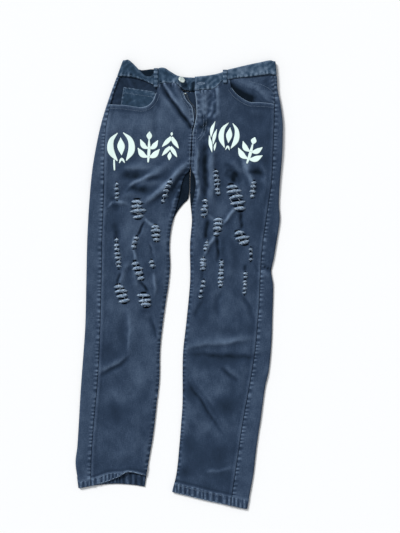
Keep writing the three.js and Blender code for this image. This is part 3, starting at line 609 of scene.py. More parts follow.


# ------------------------------------------------------------------ wear, painted light and shade, and rips
# Broad patches, paler from wear with painted highlights, or darker with painted shade: middle, half-width,
# half-height and amount.
PATCHES = [
    (-100, 398, 76, 26, 0.16), (-160, 340, 26, 60, 0.2), (-40, 370, 40, 50, 0.12), (60, 420, 40, 40, 0.2),
    (96, 438, 10, 44, -0.15), (66, 440, 18, 30, 0.5), (190, 392, 40, 20, -0.25),
    (160, 340, 50, 30, -0.15), (-20, 440, 26, 30, 0.25), (-108, 261, 22, 9, -0.75),
    (-134, 272, 14, 10, -0.4), (-95, 229, 24, 9, -0.8), (-58, 256, 14, 7, -0.4), (-60, 300, 40, 16, 0.2),
    (130, 262, 20, 14, -0.35), (186, 270, 18, 12, -0.4), (200, 300, 24, 16, -0.25),
    (165, 290, 12, 28, 0.5), (-44, 244, 24, 10, 0.5), (-70, 280, 36, 8, 0.3), (-150, 150, 18, 26, -0.35),
    (-110, 150, 30, 24, 0.1), (-120, 90, 20, 40, 0.12), (-80, 70, 18, 30, -0.15),
    (-40, 150, 12, 60, 0.15), (70, 230, 10, 30, 0.2), (110, 180, 18, 18, 0.25), (120, 70, 30, 30, -0.2),
    (150, 30, 20, 40, 0.12), (80, 40, 18, 30, 0.1), (190, 150, 14, 50, -0.15), (110, 20, 20, 30, 0.05),
    (-98, -110, 18, 70, 0.1), (-150, -62, 40, 50, 0.25), (-150, -110, 24, 50, -0.15),
    (-166, -165, 26, 20, -0.3), (-70, -170, 26, 60, 0.12), (-147, -308, 26, 26, -0.3),
    (-150, -270, 30, 24, 0.15), (-101, -215, 26, 34, 0.25), (-130, -390, 40, 30, 0.15),
    (-110, -440, 40, 20, -0.15), (-190, -430, 20, 30, -0.1), (60, -60, 24, 40, -0.3),
    (110, -60, 30, 40, 0.15), (150, -100, 26, 24, -0.15), (100, -128, 70, 12, 0.25),
    (110, -178, 90, 14, -0.4), (48, -214, 30, 20, 0.15), (22, -252, 16, 22, -0.45),
    (110, -290, 28, 20, -0.6), (90, -250, 22, 16, 0.25), (60, -340, 26, 26, 0.15),
    (25, -377, 20, 18, -0.35), (14, -446, 16, 14, -0.45), (90, -410, 40, 26, -0.25),
    (60, -460, 40, 14, 0.15), (120, -470, 30, 20, -0.2), (10, -310, 12, 50, 0.2),
    (-60, 505, 60, 16, -0.45), (-122, 520, 20, 24, -0.2), (160, 512, 60, 20, 0.25),
    (75, 486, 30, 14, -0.2), (60, -440, 60, 60, -0.2), (225, 100, 20, 220, -0.3),
    (-5, 450, 14, 24, -0.25), (-100, 380, 60, 40, 0.2), (-100, 130, 60, 110, 0.14),
]
MOTTLED_BY_FLY = (64, 405, 24, 58)  # middle, half-width and half-height


def mottle(x, y):
    """Small pale and dark spots of cloth that was washed while it was creased."""
    spots = np.sin(x / 3.9 + 1.9 * np.sin(y / 6.7)) * np.sin(y / 4.7 + 1.5 * np.sin(x / 7.9))
    return 0.75 * spots + 0.3 * np.sin(x / 2.3 - y / 5.1) * np.sin(y / 3.1 + x / 9.0)


def wear_and_painted_light(x, y):
    """How much paler than plain denim the cloth is, from wear and painted highlights, or darker below 0,
    from painted shade and mottling.
    """
    tone = np.zeros(np.shape(x))
    for px, py, wide, high, amount in PATCHES:
        tone = tone + amount * np.exp(-(((x - px) / wide) ** 2) - ((y - py) / high) ** 2)
    wx, wy = wander(x, y)
    patchy = 0.8 + 0.5 * np.sin(x / 6.1 + 1.9 * np.sin(y / 9.3)) * np.sin(y / 7.1 + 1.3 * np.sin(x / 8.7))
    for path, wide, amount in WEAR_AND_PAINTED_LIGHT_LINES:
        tone = tone + patchy * ridge(smooth_path(path), amount, wide, wide, (-0.05, 0.25), wx, wy)
    px, py, wide, high = MOTTLED_BY_FLY
    near_fly = np.exp(-(((x - px) / wide) ** 2) - ((y - py) / high) ** 2)
    return tone + mottle(x, y) * near_fly


fading_and_painted_light = Field(wear_and_painted_light)


def rubbed_ridges_shaded_troughs(height, x, y):
    """Paler rubbed ridges and darker troughs with painted shade: how the cloth stands above what is around
    it.
    """
    near, wide = crest(height, x, y, 5.0), crest(height, x, y, 14.0)
    return 0.2 * np.clip(near, -2.2, 2.2) + 0.12 * np.clip(wide, -2.8, 2.8)


def pucker_run(at):
    """Length along a seam, drawn in and let out so that its puckers are unevenly spaced."""
    return at + 5.0 * np.sin(at / 27.0) + 3.0 * np.sin(at / 11.3 + 1.0) + 1.2 * np.sin(at / 5.3 + 2.0)


def pucker(run):
    return np.sin(2 * math.pi * run / PUCKER)


def cut_through(obj, rips):
    """Cuts each ladder's lenses out of a panel."""
    points, faces = [], []
    for rip in rips:
        gape = NARROW_GAPE if rip[2] < NARROW else CUT_GAPE
        for x, y, half, slant in cuts_of(rip):
            lens = [(px * half, py * gape / 2, z) for z in CUT_REACH for px, py in LENS]
            faces += prism(len(points), len(LENS))
            points += moved(lens, x, y, slant).tolist()
    mesh = bpy.data.meshes.new("cutter")
    mesh.from_pydata((np.array(points) * MM).tolist(), [], faces)
    cutter = bpy.data.objects.new("cutter", mesh)
    bpy.context.scene.collection.objects.link(cutter)
    boolean = obj.modifiers.new("rips", "BOOLEAN")
    boolean.operation = "DIFFERENCE"
    boolean.solver = "EXACT"
    boolean.object = cutter
    bpy.context.view_layer.objects.active = obj
    bpy.ops.object.modifier_apply(modifier=boolean.name)
    bpy.data.objects.remove(cutter)
    bpy.data.meshes.remove(mesh)


def rungs(rip, shares, narrowed, power):
    """Middle, half-length and slant of what crosses a ladder at shares of the way down it."""
    (ax, ay), (bx, by), width, _ = rip
    slant = 0.35 * math.atan2(bx - ax, ay - by)
    for t in shares:
        yield lerp(ax, bx, t), lerp(ay, by, t), width / 2 * (1 - narrowed * abs(2 * t - 1) ** power), slant


def bars_of(rip):
    """The frayed bars of a ladder."""
    return rungs(rip, [(k + 0.5) / rip[3] for k in range(rip[3])], 0.35, 2)


def cuts_of(rip):
    """The cuts of a ladder, between its bars and just past them."""
    return rungs(rip, [k / rip[3] for k in range(rip[3] + 1)], 0.5, 3)


# ------------------------------------------------------------------ panels
def front_panel(name, leg, rips, material, columns=84, rows=300):
    """A front: scooped at the pocket mouth, turned up at the hem, and cut at its rips."""
    top = curve(leg["mouth"] + leg["waist"])
    seam, inner, hem = (through(leg[key]) for key in ("seam", "inner", "hem_front"))
    side = leg["side"]
    hem_out = float(seam(hem(side * 1e3))) - side * SEAM_GAP
    hem_in = leg["hem_front"][-1][0]
    (out_x, out_y), (in_x, in_y) = leg["mouth"][0], leg["waist"][-1]
    hem_out_y, hem_in_y = float(hem(hem_out)), float(hem(hem_in))
    u, v = np.meshgrid(np.linspace(0, 1, columns), np.linspace(0, 1, rows), indexing="ij")
    hem_share, hem_rows = HEM_DEPTH / (out_y - hem_out_y), 0.03
    v = np.where(v < hem_rows, v * hem_share / hem_rows, lerp(hem_share, 1, (v - hem_rows) / (1 - hem_rows)))
    top_x, top_y = top(u)
    y = lerp(hem(lerp(hem_out, hem_in, u)), top_y, v)
    edge_out = seam(lerp(hem_out_y, out_y, v)) - side * SEAM_GAP
    edge_in = inner(lerp(hem_in_y, in_y, v))
    x = lerp(edge_out, edge_in, u) + (top_x - lerp(out_x, in_x, u)) * v
    height = partial(panel_height, leg)
    z = height(x, y)

    # distances from the edges, in millimetres
    to_out, to_in = np.abs(x - edge_out), np.abs(x - edge_in)
    to_top = (1 - v) * (out_y - hem_out_y)
    bottom = v / hem_share * HEM_DEPTH
    depth = through(leg["turned_front"])(x)
    mouth_share = (len(leg["mouth"]) - 1) / (len(leg["mouth"]) + len(leg["waist"]) - 1)
    to_mouth = np.where(u <= mouth_share, to_top, FAR)
    to_waist = np.where(u > mouth_share, to_top, FAR)

    in_hem = smoothstep(depth - bottom, -1, 2)
    run = np.where((to_in < 12) & (bottom > depth), pucker_run(y), pucker_run(x))
    beside_in = np.exp(-((to_in / 6) ** 2)) * ((y < PLAIN_INSEAM[0]) | (y > PLAIN_INSEAM[1]))
    z = z + 0.45 * pucker(run) * np.maximum(in_hem, 0.7 * beside_in)
    z = z + 1.2 * np.exp(-((to_mouth / 5) ** 2))
    thick = lerp(DENIM, HEM, smoothstep(depth - bottom, -1.4, 1.4))

    # paler rubbed ridges, painted shade in troughs, and the wear, painted highlights and painted shade of
    # the tables
    tone = rubbed_ridges_shaded_troughs(height, x, y) + fading_and_painted_light(x, y)
    for distance, middle, wide, amount in (
        (to_mouth, 0, 3.0, 0.3), (bottom, 0, 2.5, 0.5), (bottom - depth, 0, 2.2, 0.55),
        (bottom - depth, 5, 3, -0.4), (to_out, 3, 2, 0.25), (to_mouth, 12, 5, -0.3),
    ):
        tone = tone + amount * np.exp(-(((distance - middle) / wide) ** 2))
    to_seam = np.where(in_hem > 0.5, 3.0 + np.abs(bottom - 12) / 6, np.minimum(to_in, to_waist) + 1.5)
    grid = np.stack([x, y, z], -1)
    obj = walled(name, grid, thick, material, "denim", tone=tone, seam=to_seam, run=run)
    cut_through(obj, rips)
    return obj


def where_met(low, high, v, edge):
    """Where row v, between ends low(x) and high(x), meets an edge x = edge(y)."""
    x = edge(np.zeros_like(v))
    for _ in range(12):
        x = edge(lerp(low(x), high(x), v))
    return x


def wrapped(name, leg, low, high, shares, thick, material, hem_share=0.0):
    """A back piece: flat under the garment, round the outside and forward to the outseam."""
    flat, turns, over = 60, 7, 12
    side = leg["side"]
    v = np.asarray(shares, float)
    inner, fold, seam = (where_met(low, high, v, through(leg[k])) for k in ("back_inner", "fold", "seam"))
    radius = np.minimum(FOLD_RADIUS, np.abs(fold - seam) * 0.6)
    turn = fold - side * radius
    extra = (thick - DENIM) / 2
    columns = []

    def at(x):
        return lerp(low(x), high(x), v)

    for i in range(flat):
        x = lerp(inner, turn, i / (flat - 1))
        columns.append(np.stack([x, at(x), back_height(at(x)) + extra], -1))
    roof, ground = front_height(turn, at(turn)), back_height(at(turn)) + extra
    for i in range(1, turns + 1):
        angle = math.pi * i / (turns + 1) - math.pi / 2
        x = turn + side * radius * math.cos(angle)
        columns.append(np.stack([x, at(turn), lerp(ground, roof, (math.sin(angle) + 1) / 2)], -1))
    for i in range(over):
        x = lerp(turn, seam, i / (over - 1))
        columns.append(np.stack([x, at(x), front_height(x, at(x))], -1))
    grid = np.array(columns)
    x, y = grid[..., 0], grid[..., 1]
    in_front = grid[..., 2] > IN_FRONT
    from_seam = np.abs(x - seam[None, :])
    grid[..., 2] += 0.4 * pucker(pucker_run(y)) * np.exp(-((from_seam / 8) ** 2)) * in_front
    # cloth that has not come round to the front is the inside, darkened with painted shade
    tone = np.where(in_front, rubbed_ridges_shaded_troughs(front_height, x, y) + 0.14 + 0.7 * fading_and_painted_light(x, y), INSIDE_PAINTED_SHADE)
    to_seam = np.where(in_front, from_seam + 0.5, FAR)
    run = pucker_run(y)
    if hem_share:
        bottom = (v / hem_share * HEM_DEPTH)[None, :] + 0 * x
        depth = through(leg["turned_back"])(x)
        turned = bottom < depth
        to_seam = np.where(turned, 3.0 + np.abs(bottom - 12) / 6, to_seam)
        run = np.where(turned, pucker_run(x), run)
        hem_tone = 0.55 * np.exp(-(((bottom - depth) / 2.2) ** 2)) + 0.4 * np.exp(-((bottom / 2.5) ** 2))
        shaded = ARCH_SHADE * (x > ARCH_FROM) * (side < 0)
        tone = np.where(bottom < depth + 4, 0.1 - shaded + hem_tone, tone)
    return walled(name, grid, thick, material, "denim", tone=tone, seam=to_seam, run=run)


def back_panel(name, leg, material):
    """A back, from its turned-up hem to the yoke seam."""
    def high(x):
        return yoke_seam(x) - SEAM_GAP / 2

    low = through(leg["hem_back"])
    hem_share = HEM_DEPTH / float(high(0.0) - low(0.0))
    shares = np.concatenate([np.linspace(0, hem_share, 8), np.linspace(hem_share + 0.002, 1, 220)])
    thick = np.where(shares <= hem_share + 1e-6, HEM, DENIM)
    return wrapped(name, leg, low, high, shares, thick, material, hem_share)


def yoke(name, leg, material, rows=26):
    """The shaped strip of the seat between a back and the waistband."""
    high = raised(back_low, -SEAM_GAP)
    return wrapped(name, leg, yoke_seam, high, np.linspace(0, 1, rows), np.full(rows, DENIM), material)


def waistband(material, rows=13):
    """One strip: button end, over the right front, round the back, and in to the buttonhole end."""
    v = np.linspace(0, 1, rows)
    ground = SEAT_LIFT + BAND / 2
    sections = []

    def add(low, top, height):
        x, y = lerp(low[0], top[0], v), lerp(low[1], top[1], v)
        sections.append(np.stack([x, y, height(x, y)], -1))

    def front(stations, height, step=3.0):
        lows, tops = (curve([station[k] for station in stations]) for k in (0, 1))
        length = math.dist(stations[0][0], stations[-1][0])
        for t in np.linspace(0, 1, round(length / step)):
            add(lows(t), tops(t), height)

    def side(station, outwards):
        (low_x, low_y), (top_x, top_y) = station
        for share in np.linspace(0.125, 0.875, 7):
            out = outwards * FOLD_RADIUS * math.sin(math.pi * share)
            up = (1 - outwards * math.cos(math.pi * share)) / 2
            add(
                (low_x + out, low_y), (top_x + out, top_y),
                lambda x, y: lerp(ground, front_height(x, y), up),
            )

    front(BAND_RIGHT, underlap_height)
    side(BAND_RIGHT[-1], -1)
    (start_low, start_top), (end_low, end_top) = BAND_RIGHT[-1], BAND_LEFT[-1]
    for t in np.linspace(0, 1, 120):
        low_x, top_x = lerp(start_low[0], end_low[0], t), lerp(start_top[0], end_top[0], t)
        low, top = (low_x, float(back_low(low_x)) + 0.5), (top_x, float(back_high(top_x)))
        add(low, top, lambda x, y: ground + 0 * x)
    side(BAND_LEFT[-1], 1)
    front(BAND_LEFT[::-1], front_height)
    grid = np.array(sections)
    middle = grid[:, rows // 2]
    run = pucker_run(np.concatenate([[0], np.cumsum(np.linalg.norm(np.diff(middle, axis=0), axis=1))]))
    edge = np.minimum(v, 1 - v)[None, :]
    in_front = grid[..., 2] > ground + 2
    sewn_edge = np.exp(-((v[None, :] / 0.28) ** 2)) + 0.6 * np.exp(-(((1 - v[None, :]) / 0.14) ** 2))
    grid[..., 2] += np.where(in_front, 0.45 * pucker(run)[:, None] * sewn_edge, 0)
    thick = BAND * (0.55 + 0.45 * smoothstep(edge, 0, 0.1)) * np.ones_like(grid[..., 0])
    x, y = grid[..., 0], grid[..., 1]
    # the back of the band is its inside, darkened with painted shade
    tone = np.where(in_front, rubbed_ridges_shaded_troughs(front_height, x, y) + fading_and_painted_light(x, y), INSIDE_PAINTED_SHADE)
    tone = tone + 0.4 * np.exp(-((edge / 0.06) ** 2)) + 0.5 * np.where(in_front, mottle(x, y), 0)
    values = dict(tone=tone, seam=v[None, :] * 30 + 0.8, run=run[:, None])
    return walled("waistband", grid, thick, material, "worn_denim", **values)


# ------------------------------------------------------------------ flat-cut pieces
# Rings of a flat-cut piece: how large each is, and its distance from the edge for the wear.
RINGS = [(1.0, 0.0), (0.975, 1.5), (0.93, 4.0), (0.8, 12.0), (0.6, 20.0), (0.4, 30.0), (0.2, 40.0)]


def laid(name, outline, height, material, tone=0.0, place=(0, 0), step=3.0):
    """A flat-cut piece of one layer with a worn cut edge, its underside at height(x, y)."""
    outline = np.array(outline, float) + place
    closed = np.vstack([outline, outline[:1]])
    run = np.concatenate([[0], np.cumsum(np.hypot(*np.diff(closed, axis=0).T))])
    at = np.linspace(0, run[-1], max(8, round(run[-1] / step)) + 1)[:-1]
    rim = np.column_stack([np.interp(at, run, closed[:, k]) for k in (0, 1)])
    middle = rim.mean(0)
    n, levels = len(rim), len(RINGS)
    flat = np.vstack([middle + (rim - middle) * size for size, _ in RINGS] + [middle[None, :]])
    under = height(flat[:, 0], flat[:, 1])
    points = np.vstack([np.column_stack([flat, under + DENIM]), np.column_stack([flat, under])])
    faces = []
    half = n * levels + 1
    for first in range(0, n * (levels - 1), n):
        for k in range(n):
            a, b = first + k, first + (k + 1) % n
            faces.append([a, b, b + n, a + n])
            faces.append([a + half, a + n + half, b + n + half, b + half])
    for k in range(n):
        a, b = (levels - 1) * n + k, (levels - 1) * n + (k + 1) % n
        faces.append([a, b, half - 1])
        faces.append([b + half, a + half, 2 * half - 1])
    faces += [[k + half, (k + 1) % n + half, (k + 1) % n, k] for k in range(n)]
    if np.sum(rim[:, 0] * np.roll(rim[:, 1], -1) - np.roll(rim[:, 0], -1) * rim[:, 1]) < 0:
        faces = [face[::-1] for face in faces]
    edge = np.append(np.repeat([distance for _, distance in RINGS], n), 50.0)
    shade = tone(flat[:, 0], flat[:, 1]) if callable(tone) else tone
    worn = shade + 0.35 * np.exp(-((edge / 2.0) ** 2))
    values = dict(tone=both(worn), seam=both(edge), run=both(np.append(np.tile(at, levels), 0)))
    return piece(name, points, faces, material, values, True, n)


def belt_loop(name, x, low, high, height, material, rows=24):
    """A pressed loop, flat on the band."""
    half = LOOP_WIDTH / 2
    gx, gy = np.meshgrid(x + np.linspace(-half, half, 7), np.linspace(low, high, rows), indexing="ij")
    edge = np.abs(gx - x) / half
    z = height(gx, gy) + LOOP / 2 - 0.25 * edge**2
    grid = np.stack([gx, gy, z], -1)
    values = dict(tone=0.1 + 0.5 * smoothstep(edge, 0.6, 1), seam=(1 - edge) * half, run=gy)
    return walled(name, grid, LOOP * (1 - 0.35 * edge**3), material, "worn_denim", **values)


def tape(name, left, right, material, rows=40):
    """A zip tape between its two long edges, each from its top down."""
    share = np.linspace(0, 1, rows)
    edges = []
    for edge in (left, right):
        line = walk(edge, 2)
        at = np.linspace(0, 1, len(line))
        edges.append(np.column_stack([np.interp(share, at, line[:, k]) for k in (0, 1)])[::-1])
    xy = lerp(edges[0][None], edges[1][None], np.linspace(0, 1, 6)[:, None, None])
    z = level(xy[..., 1]) - TAPE_DROP
    return walled(name, np.dstack([xy, z]), TAPE, material, "zip_tape")


# ------------------------------------------------------------------ thread work
def tubes(paths, radius, sides=5):
    """Closed round tubes along paths; radius is one number, or a list of each path's radii."""
    points, faces = [], []
    ring = np.linspace(0, 2 * math.pi, sides, endpoint=False)
    for number, path in enumerate(paths):
        path = np.asarray(path, float)
        ahead = np.gradient(path, axis=0)
        ahead /= np.linalg.norm(ahead, axis=1, keepdims=True) + 1e-9
        side = np.cross(ahead, (0.13, 0.21, 1.0))
        side /= np.linalg.norm(side, axis=1, keepdims=True) + 1e-9
        up = np.cross(side, ahead)
        own = radius[number] if isinstance(radius, list) else radius
        taper = np.array(own) * np.ones(len(path))
        taper[[0, -1]] *= 0.5
        around = side[:, None] * np.cos(ring)[None, :, None] + up[:, None] * np.sin(ring)[None, :, None]
        first = sum(len(p) for p in points)
        points.append((path[:, None] + around * taper[:, None, None]).reshape(-1, 3))
        for i in range(len(path) - 1):
            for k in range(sides):
                a, b = first + i * sides + k, first + i * sides + (k + 1) % sides
                faces.append([a, b, b + sides, a + sides])
        last = first + (len(path) - 1) * sides
        faces.append([first + k for k in reversed(range(sides))])
        faces.append([last + k for k in range(sides)])
    return np.vstack(points), [f[::-1] for f in faces]


# A stitch's outline, one unit long and wide.
STITCH = [(-0.5, 0), (-0.32, 0.5), (0.32, 0.5), (0.5, 0), (0.32, -0.5), (-0.32, -0.5)]


def stitches(lines, height, pitch=3.6, length=2.9, width=0.9, proud=0.55):
    """Small pillow-shaped stitches in a row along each line of points."""
    points, faces = [], []
    foot = [(px * length, py * width, -0.15) for px, py in STITCH]
    crown = [(px * length * 0.7, py * width * 0.55, proud) for px, py in STITCH]
    for line in lines:
        at = walk(line, pitch)
        for (ax, ay), (bx, by) in zip(at[:-1], at[1:]):
            faces += prism(len(points), len(STITCH), clockwise=True)
            turn = math.atan2(by - ay, bx - ax)
            points += moved(foot + crown, (ax + bx) / 2, (ay + by) / 2, turn).tolist()
    points = np.array(points)
    points[:, 2] += height(points[:, 0], points[:, 1])
    return points, faces


def frayed_bars(rips, height):
    """Each ladder's bars: puffed rolls of weft, the rolls' radii, and the yarns twisted round them."""
    rng = random.Random(11)
    rolls, radii, yarns = [], [], []
    for rip in rips:
        for x, y, half, slant in bars_of(rip):
            reach = half * rng.uniform(0.66, 1.1) + 0.8
            slant = slant + rng.uniform(-0.13, 0.13)
            x = x + half * rng.uniform(-0.14, 0.14)
            y = y + rng.uniform(-1.5, 1.5)
            plump = min(1.0, 0.22 + half / 13)
            puffed = rng.uniform(0.8, 1.2)
            steps = max(6, round(2 * reach / 2.4))
            sway = rng.uniform(-0.5, 2.4)
            roll = []
            for t in np.linspace(0, 1, steps):
                across = sway * math.sin(math.pi * t) + rng.uniform(-0.5, 0.5)
                roll.append((lerp(-reach, reach, t), across, 0.4 + 1.5 * plump * bow(t)))
            rolls.append(moved(roll, x, y, slant))
            thick = 2.5 * puffed * plump
            radii.append([0.6 + thick * bow(t) * rng.uniform(0.7, 1.2) for t in np.linspace(0, 1, steps)])
            for _ in range(7):
                phase, twist = rng.uniform(0, 2 * math.pi), rng.uniform(1.2, 3.0)
                start, end = -reach + rng.uniform(-1.5, 2.0), reach + rng.uniform(-2.0, 1.5)
                path = []
                for t in np.linspace(0, 1, steps + 3):
                    angle = phase + twist * t * 2 * math.pi * half / 14
                    off = 3.3 * puffed * plump * bow(t) + 0.4
                    across = off * math.cos(angle) + rng.uniform(-0.3, 0.3) + sway * math.sin(math.pi * t)
                    up = 0.4 + 0.6 * (off - 0.3) + off * 0.9 * math.sin(angle)
                    path.append((lerp(start, end, t), across, max(up, 0.3)))
                yarns.append(moved(path, x, y, slant))
    return place_on(rolls, height), radii, place_on(yarns, height)


def bow(t):
    """How full a bar is at a share of its length."""
    return 1 - abs(2 * t - 1) ** 3


def loose_threads(rips, height):
    """Longer threads that hang from bar to bar and trail off the ladders' ends."""
    rng = random.Random(29)
    paths = []
    for rip in rips:
        bars = list(bars_of(rip))
        for (x1, y1, half, _), (x2, y2, _, _) in zip(bars[:-1], bars[1:]):
            for _ in range(round(half / 11)):
                from_x, to_x = (x + rng.uniform(-half, half) * 0.9 for x in (x1, x2))
                slack = rng.uniform(-4, 4)
                path = []
                for s in np.linspace(0, 1, 9):
                    sag = math.sin(math.pi * s)
                    px = lerp(from_x, to_x, s) + slack * sag + rng.uniform(-0.3, 0.3)
                    path.append((px, lerp(y1, y2, s), 1.0 + 1.6 * sag))
                paths.append(path)
        for x, y, _, _ in (bars[0], bars[-1]):
            for _ in range(2):
                turn, length = rng.uniform(0, 2 * math.pi), rng.uniform(4, 8)
                bend = rng.uniform(-1.2, 1.2)
                path = []
                for s in np.linspace(0, 1, 8):
                    out, angle = length * s, turn + bend * s
                    path.append((x + out * math.cos(angle), y + out * math.sin(angle), 0.9 + 0.8 * s))
                paths.append(path)
    return place_on(paths, height)


def place_on(paths, height):
    """Paths given above the cloth, put on it."""
    placed = []
    for path in paths:
        path = np.array(path, float)
        path[:, 2] += height(path[:, 0], path[:, 1])
        placed.append(path)
    return placed


def beside(line, away):
    """A line of points moved sideways, to the left of its direction if away is positive."""
    line = np.array(line, float)
    ahead = np.gradient(line, axis=0)
    ahead /= np.linalg.norm(ahead, axis=1, keepdims=True)
    return line + np.column_stack([-ahead[:, 1], ahead[:, 0]]) * away


def edge_line(edge, high, low, inwards, step=12):
    """Points down a leg's edge, given as (y, x) points, moved inwards."""
    at = through(edge)
    ys = np.arange(high, low, -step)
    return np.column_stack([at(ys) + inwards, ys])


def hem_row(leg, above=None):
    """Points across a leg, above its hem's lower edge or else just under the top of the hem."""
    x = np.linspace(leg["hem_front"][0][0], leg["hem_front"][-1][0], 24)
    x = x[(x - leg["seam"][-1][1]) * leg["side"] < -2]
    if above is None:
        depth = through(leg["turned_front"])(x)
        x, above = x[depth > 8], depth[depth > 8] - 3
    return np.column_stack([x, through(leg["hem_front"])(x) + above])[1:-1]


def rolled_edges(name, lines, height, material):
    """The turned edges of the cloth, worn pale."""
    paths = []
    for line in lines:
        at = walk(line, 4)
        paths.append(np.column_stack([at, height(at[:, 0], at[:, 1])]))
    points, faces = tubes(paths, 0.9, sides=6)
    return piece(name, points, faces, material, dict(tone=2.6))


def sewn(name, lines, height, material, slot="thread", **sizes):
    """Rows of stitches as one piece, or of zip teeth, which are set in the same way."""
    points, faces = stitches(lines, height, **sizes)
    return piece(name, points, faces, material, smooth=False)


# ------------------------------------------------------------------ print
# Plain ornaments of thick and thin strokes. Each stroke is a path and its widths, about the
# ornament's middle, with a height of 2.
ORNAMENTS = dict(
    crescents=[
        ([(-0.2, 0.92), (-0.66, 0.45), (-0.72, -0.2), (-0.3, -0.85)], [0.04, 0.34, 0.42, 0.05]),
        ([(0.2, 0.92), (0.66, 0.45), (0.72, -0.2), (0.3, -0.85)], [0.04, 0.34, 0.42, 0.05]),
        ([(0, 0.62), (0, 0.06), (0, -0.5)], [0.02, 0.5, 0.02]),
        ([(-0.2, -0.98), (0, -0.72), (0.2, -0.98)], [0.05, 0.16, 0.05]),
    ],
    sprig=[
        ([(0, -1), (0.03, -0.3), (0, 0.4), (0, 0.62)], [0.1, 0.2, 0.18, 0.05]),
        ([(0, -0.66), (-0.44, -0.52), (-0.84, -0.1)], [0.05, 0.4, 0.04]),
        ([(0, -0.66), (0.44, -0.52), (0.84, -0.1)], [0.05, 0.4, 0.04]),
        ([(0, -0.1), (-0.38, 0.04), (-0.68, 0.46)], [0.05, 0.36, 0.04]),
        ([(0, -0.1), (0.38, 0.04), (0.68, 0.46)], [0.05, 0.36, 0.04]),
        ([(0, 0.44), (0, 0.72), (0, 1)], [0.03, 0.4, 0.03]),
    ],
    chevrons=[
        ([(-0.8, -0.1), (-0.36, 0.3), (0, 0.62)], [0.05, 0.34, 0.26]),
        ([(0.8, -0.1), (0.36, 0.3), (0, 0.62)], [0.05, 0.34, 0.26]),
        ([(-0.72, -0.72), (-0.3, -0.3), (0, -0.06)], [0.05, 0.32, 0.24]),
        ([(0.72, -0.72), (0.3, -0.3), (0, -0.06)], [0.05, 0.32, 0.24]),
        ([(0, -0.4), (0, -0.7), (0, -1)], [0.03, 0.34, 0.03]),
        ([(0, 1), (0, 0.86), (0, 0.72)], [0.02, 0.2, 0.02]),
    ],
    spindle=[
        ([(0.45, 1), (-0.05, 0.5), (-0.25, -0.05)], [0.03, 0.32, 0.03]),
        ([(0.7, 0.5), (0.3, 0.0), (0.1, -0.5)], [0.03, 0.32, 0.03]),
        ([(-0.5, 0.1), (-0.3, -0.45), (-0.05, -1)], [0.03, 0.32, 0.03]),
        ([(0.6, -0.35), (0.4, -0.6), (0.3, -0.9)], [0.03, 0.2, 0.03]),
    ],
)
# The ornaments of each print: which, its middle, half-width, half-height and turn. The ink of one ran
# in a drip.
PRINT_RIGHT = [
    ("crescents", (-138, 329), 34, 38, 0.05), ("sprig", (-72, 330), 31, 37, -0.05),
    ("chevrons", (-20, 332), 25, 34, -0.1),
]
PRINT_LEFT = [
    ("spindle", (80, 354), 15, 37, 0.0), ("crescents", (120, 356), 25, 34, -0.12),
    ("sprig", (172, 322), 36, 33, -0.3),
]
DRIP = ([(-155, 300), (-154.6, 286), (-154, 274)], [3.5, 4.2, 3])


def inked(ornaments, height, drips):
    """Flat raised patches of ink, each a strip of changing width that follows the cloth."""
    strokes = []
    for name, (x, y), wide, high, turn in ornaments:
        for path, widths in ORNAMENTS[name]:
            drawn = moved([(px * wide, py * high) for px, py in path], x, y, turn)
            strokes.append((drawn, [w * (wide + high) / 2 for w in widths]))
    points, faces = [], []
    across = np.linspace(-0.5, 0.5, 11)
    for path, widths in strokes + drips:
        line = walk(path, 2.4)
        wide = through(list(zip(np.linspace(0, 1, len(widths)), widths)))(np.linspace(0, 1, len(line)))
        aside = beside(line, 1.0) - line
        grid_xy = line[None] - aside[None] * (across[:, None] * wide[None])[..., None]
        z = height(grid_xy[..., 0], grid_xy[..., 1])
        strip, quads, _ = wall_mesh(np.dstack([grid_xy, z]), 0.5)
        first = sum(len(p) for p in points)
        points.append(strip)
        faces += [[first + k for k in quad] for quad in quads.tolist()]
    return np.vstack(points), faces


# ------------------------------------------------------------------ materials
class Graph:
    """Adds nodes to a node tree, each by its type, settings and inputs."""

    def __init__(self, tree):
        self.tree = tree

    def feed(self, node, inputs):
        for key, value in inputs.items():
            if isinstance(value, bpy.types.NodeSocket):
                self.tree.links.new(value, node.inputs[key])
            else:
                node.inputs[key].default_value = value

    def add(self, kind, inputs=None, **settings):
        node = self.tree.nodes.new("ShaderNode" + kind)
        for key, value in settings.items():
            setattr(node, key, value)
        self.feed(node, inputs or {})
        return node

    def math(self, operation, a, b=0.0, clamp=False):
        return self.add("Math", {0: a, 1: b}, operation=operation, use_clamp=clamp).outputs[0]

    def spread(self, value, low, high, to_low=0.0, to_high=1.0):
        """value's place between low and high, eased, as a number between to_low and to_high."""
        given = {"Value": value, "From Min": low, "From Max": high, "To Min": to_low, "To Max": to_high}
        return self.add("MapRange", given, interpolation_type="SMOOTHSTEP").outputs[0]

    def blend(self, share, a, b):
        return self.add("Mix", {0: share, 6: a, 7: b}, data_type="RGBA").outputs[2]

    def noise(self, vector, scale, detail=3.0, stretch=(1, 1, 1), rough=0.55):
        stretched = self.add("Mapping", {"Vector": vector, "Scale": stretch}).outputs[0]
        given = {"Vector": stretched, "Scale": scale, "Detail": detail, "Roughness": rough}
        return self.add("TexNoise", given).outputs["Fac"]


def srgb(red, green, blue):
    """A colour as it looks on a screen, made linear for a shader."""
    linear = [(c / 12.92 if c <= 0.04045 else ((c + 0.055) / 1.055) ** 2.4) for c in (red, green, blue)]
    return (*linear, 1.0)


def group(name, inputs, outputs):
    """An empty node group with named sockets, given as name: type."""
    tree = bpy.data.node_groups.new(name, "ShaderNodeTree")
    for side, sockets in (("INPUT", inputs), ("OUTPUT", outputs)):
        for key, kind in sockets.items():
            tree.interface.new_socket(key, in_out=side, socket_type="NodeSocket" + kind)
    graph = Graph(tree)
    return graph, tree.nodes.new("NodeGroupInput").outputs, tree.nodes.new("NodeGroupOutput").inputs


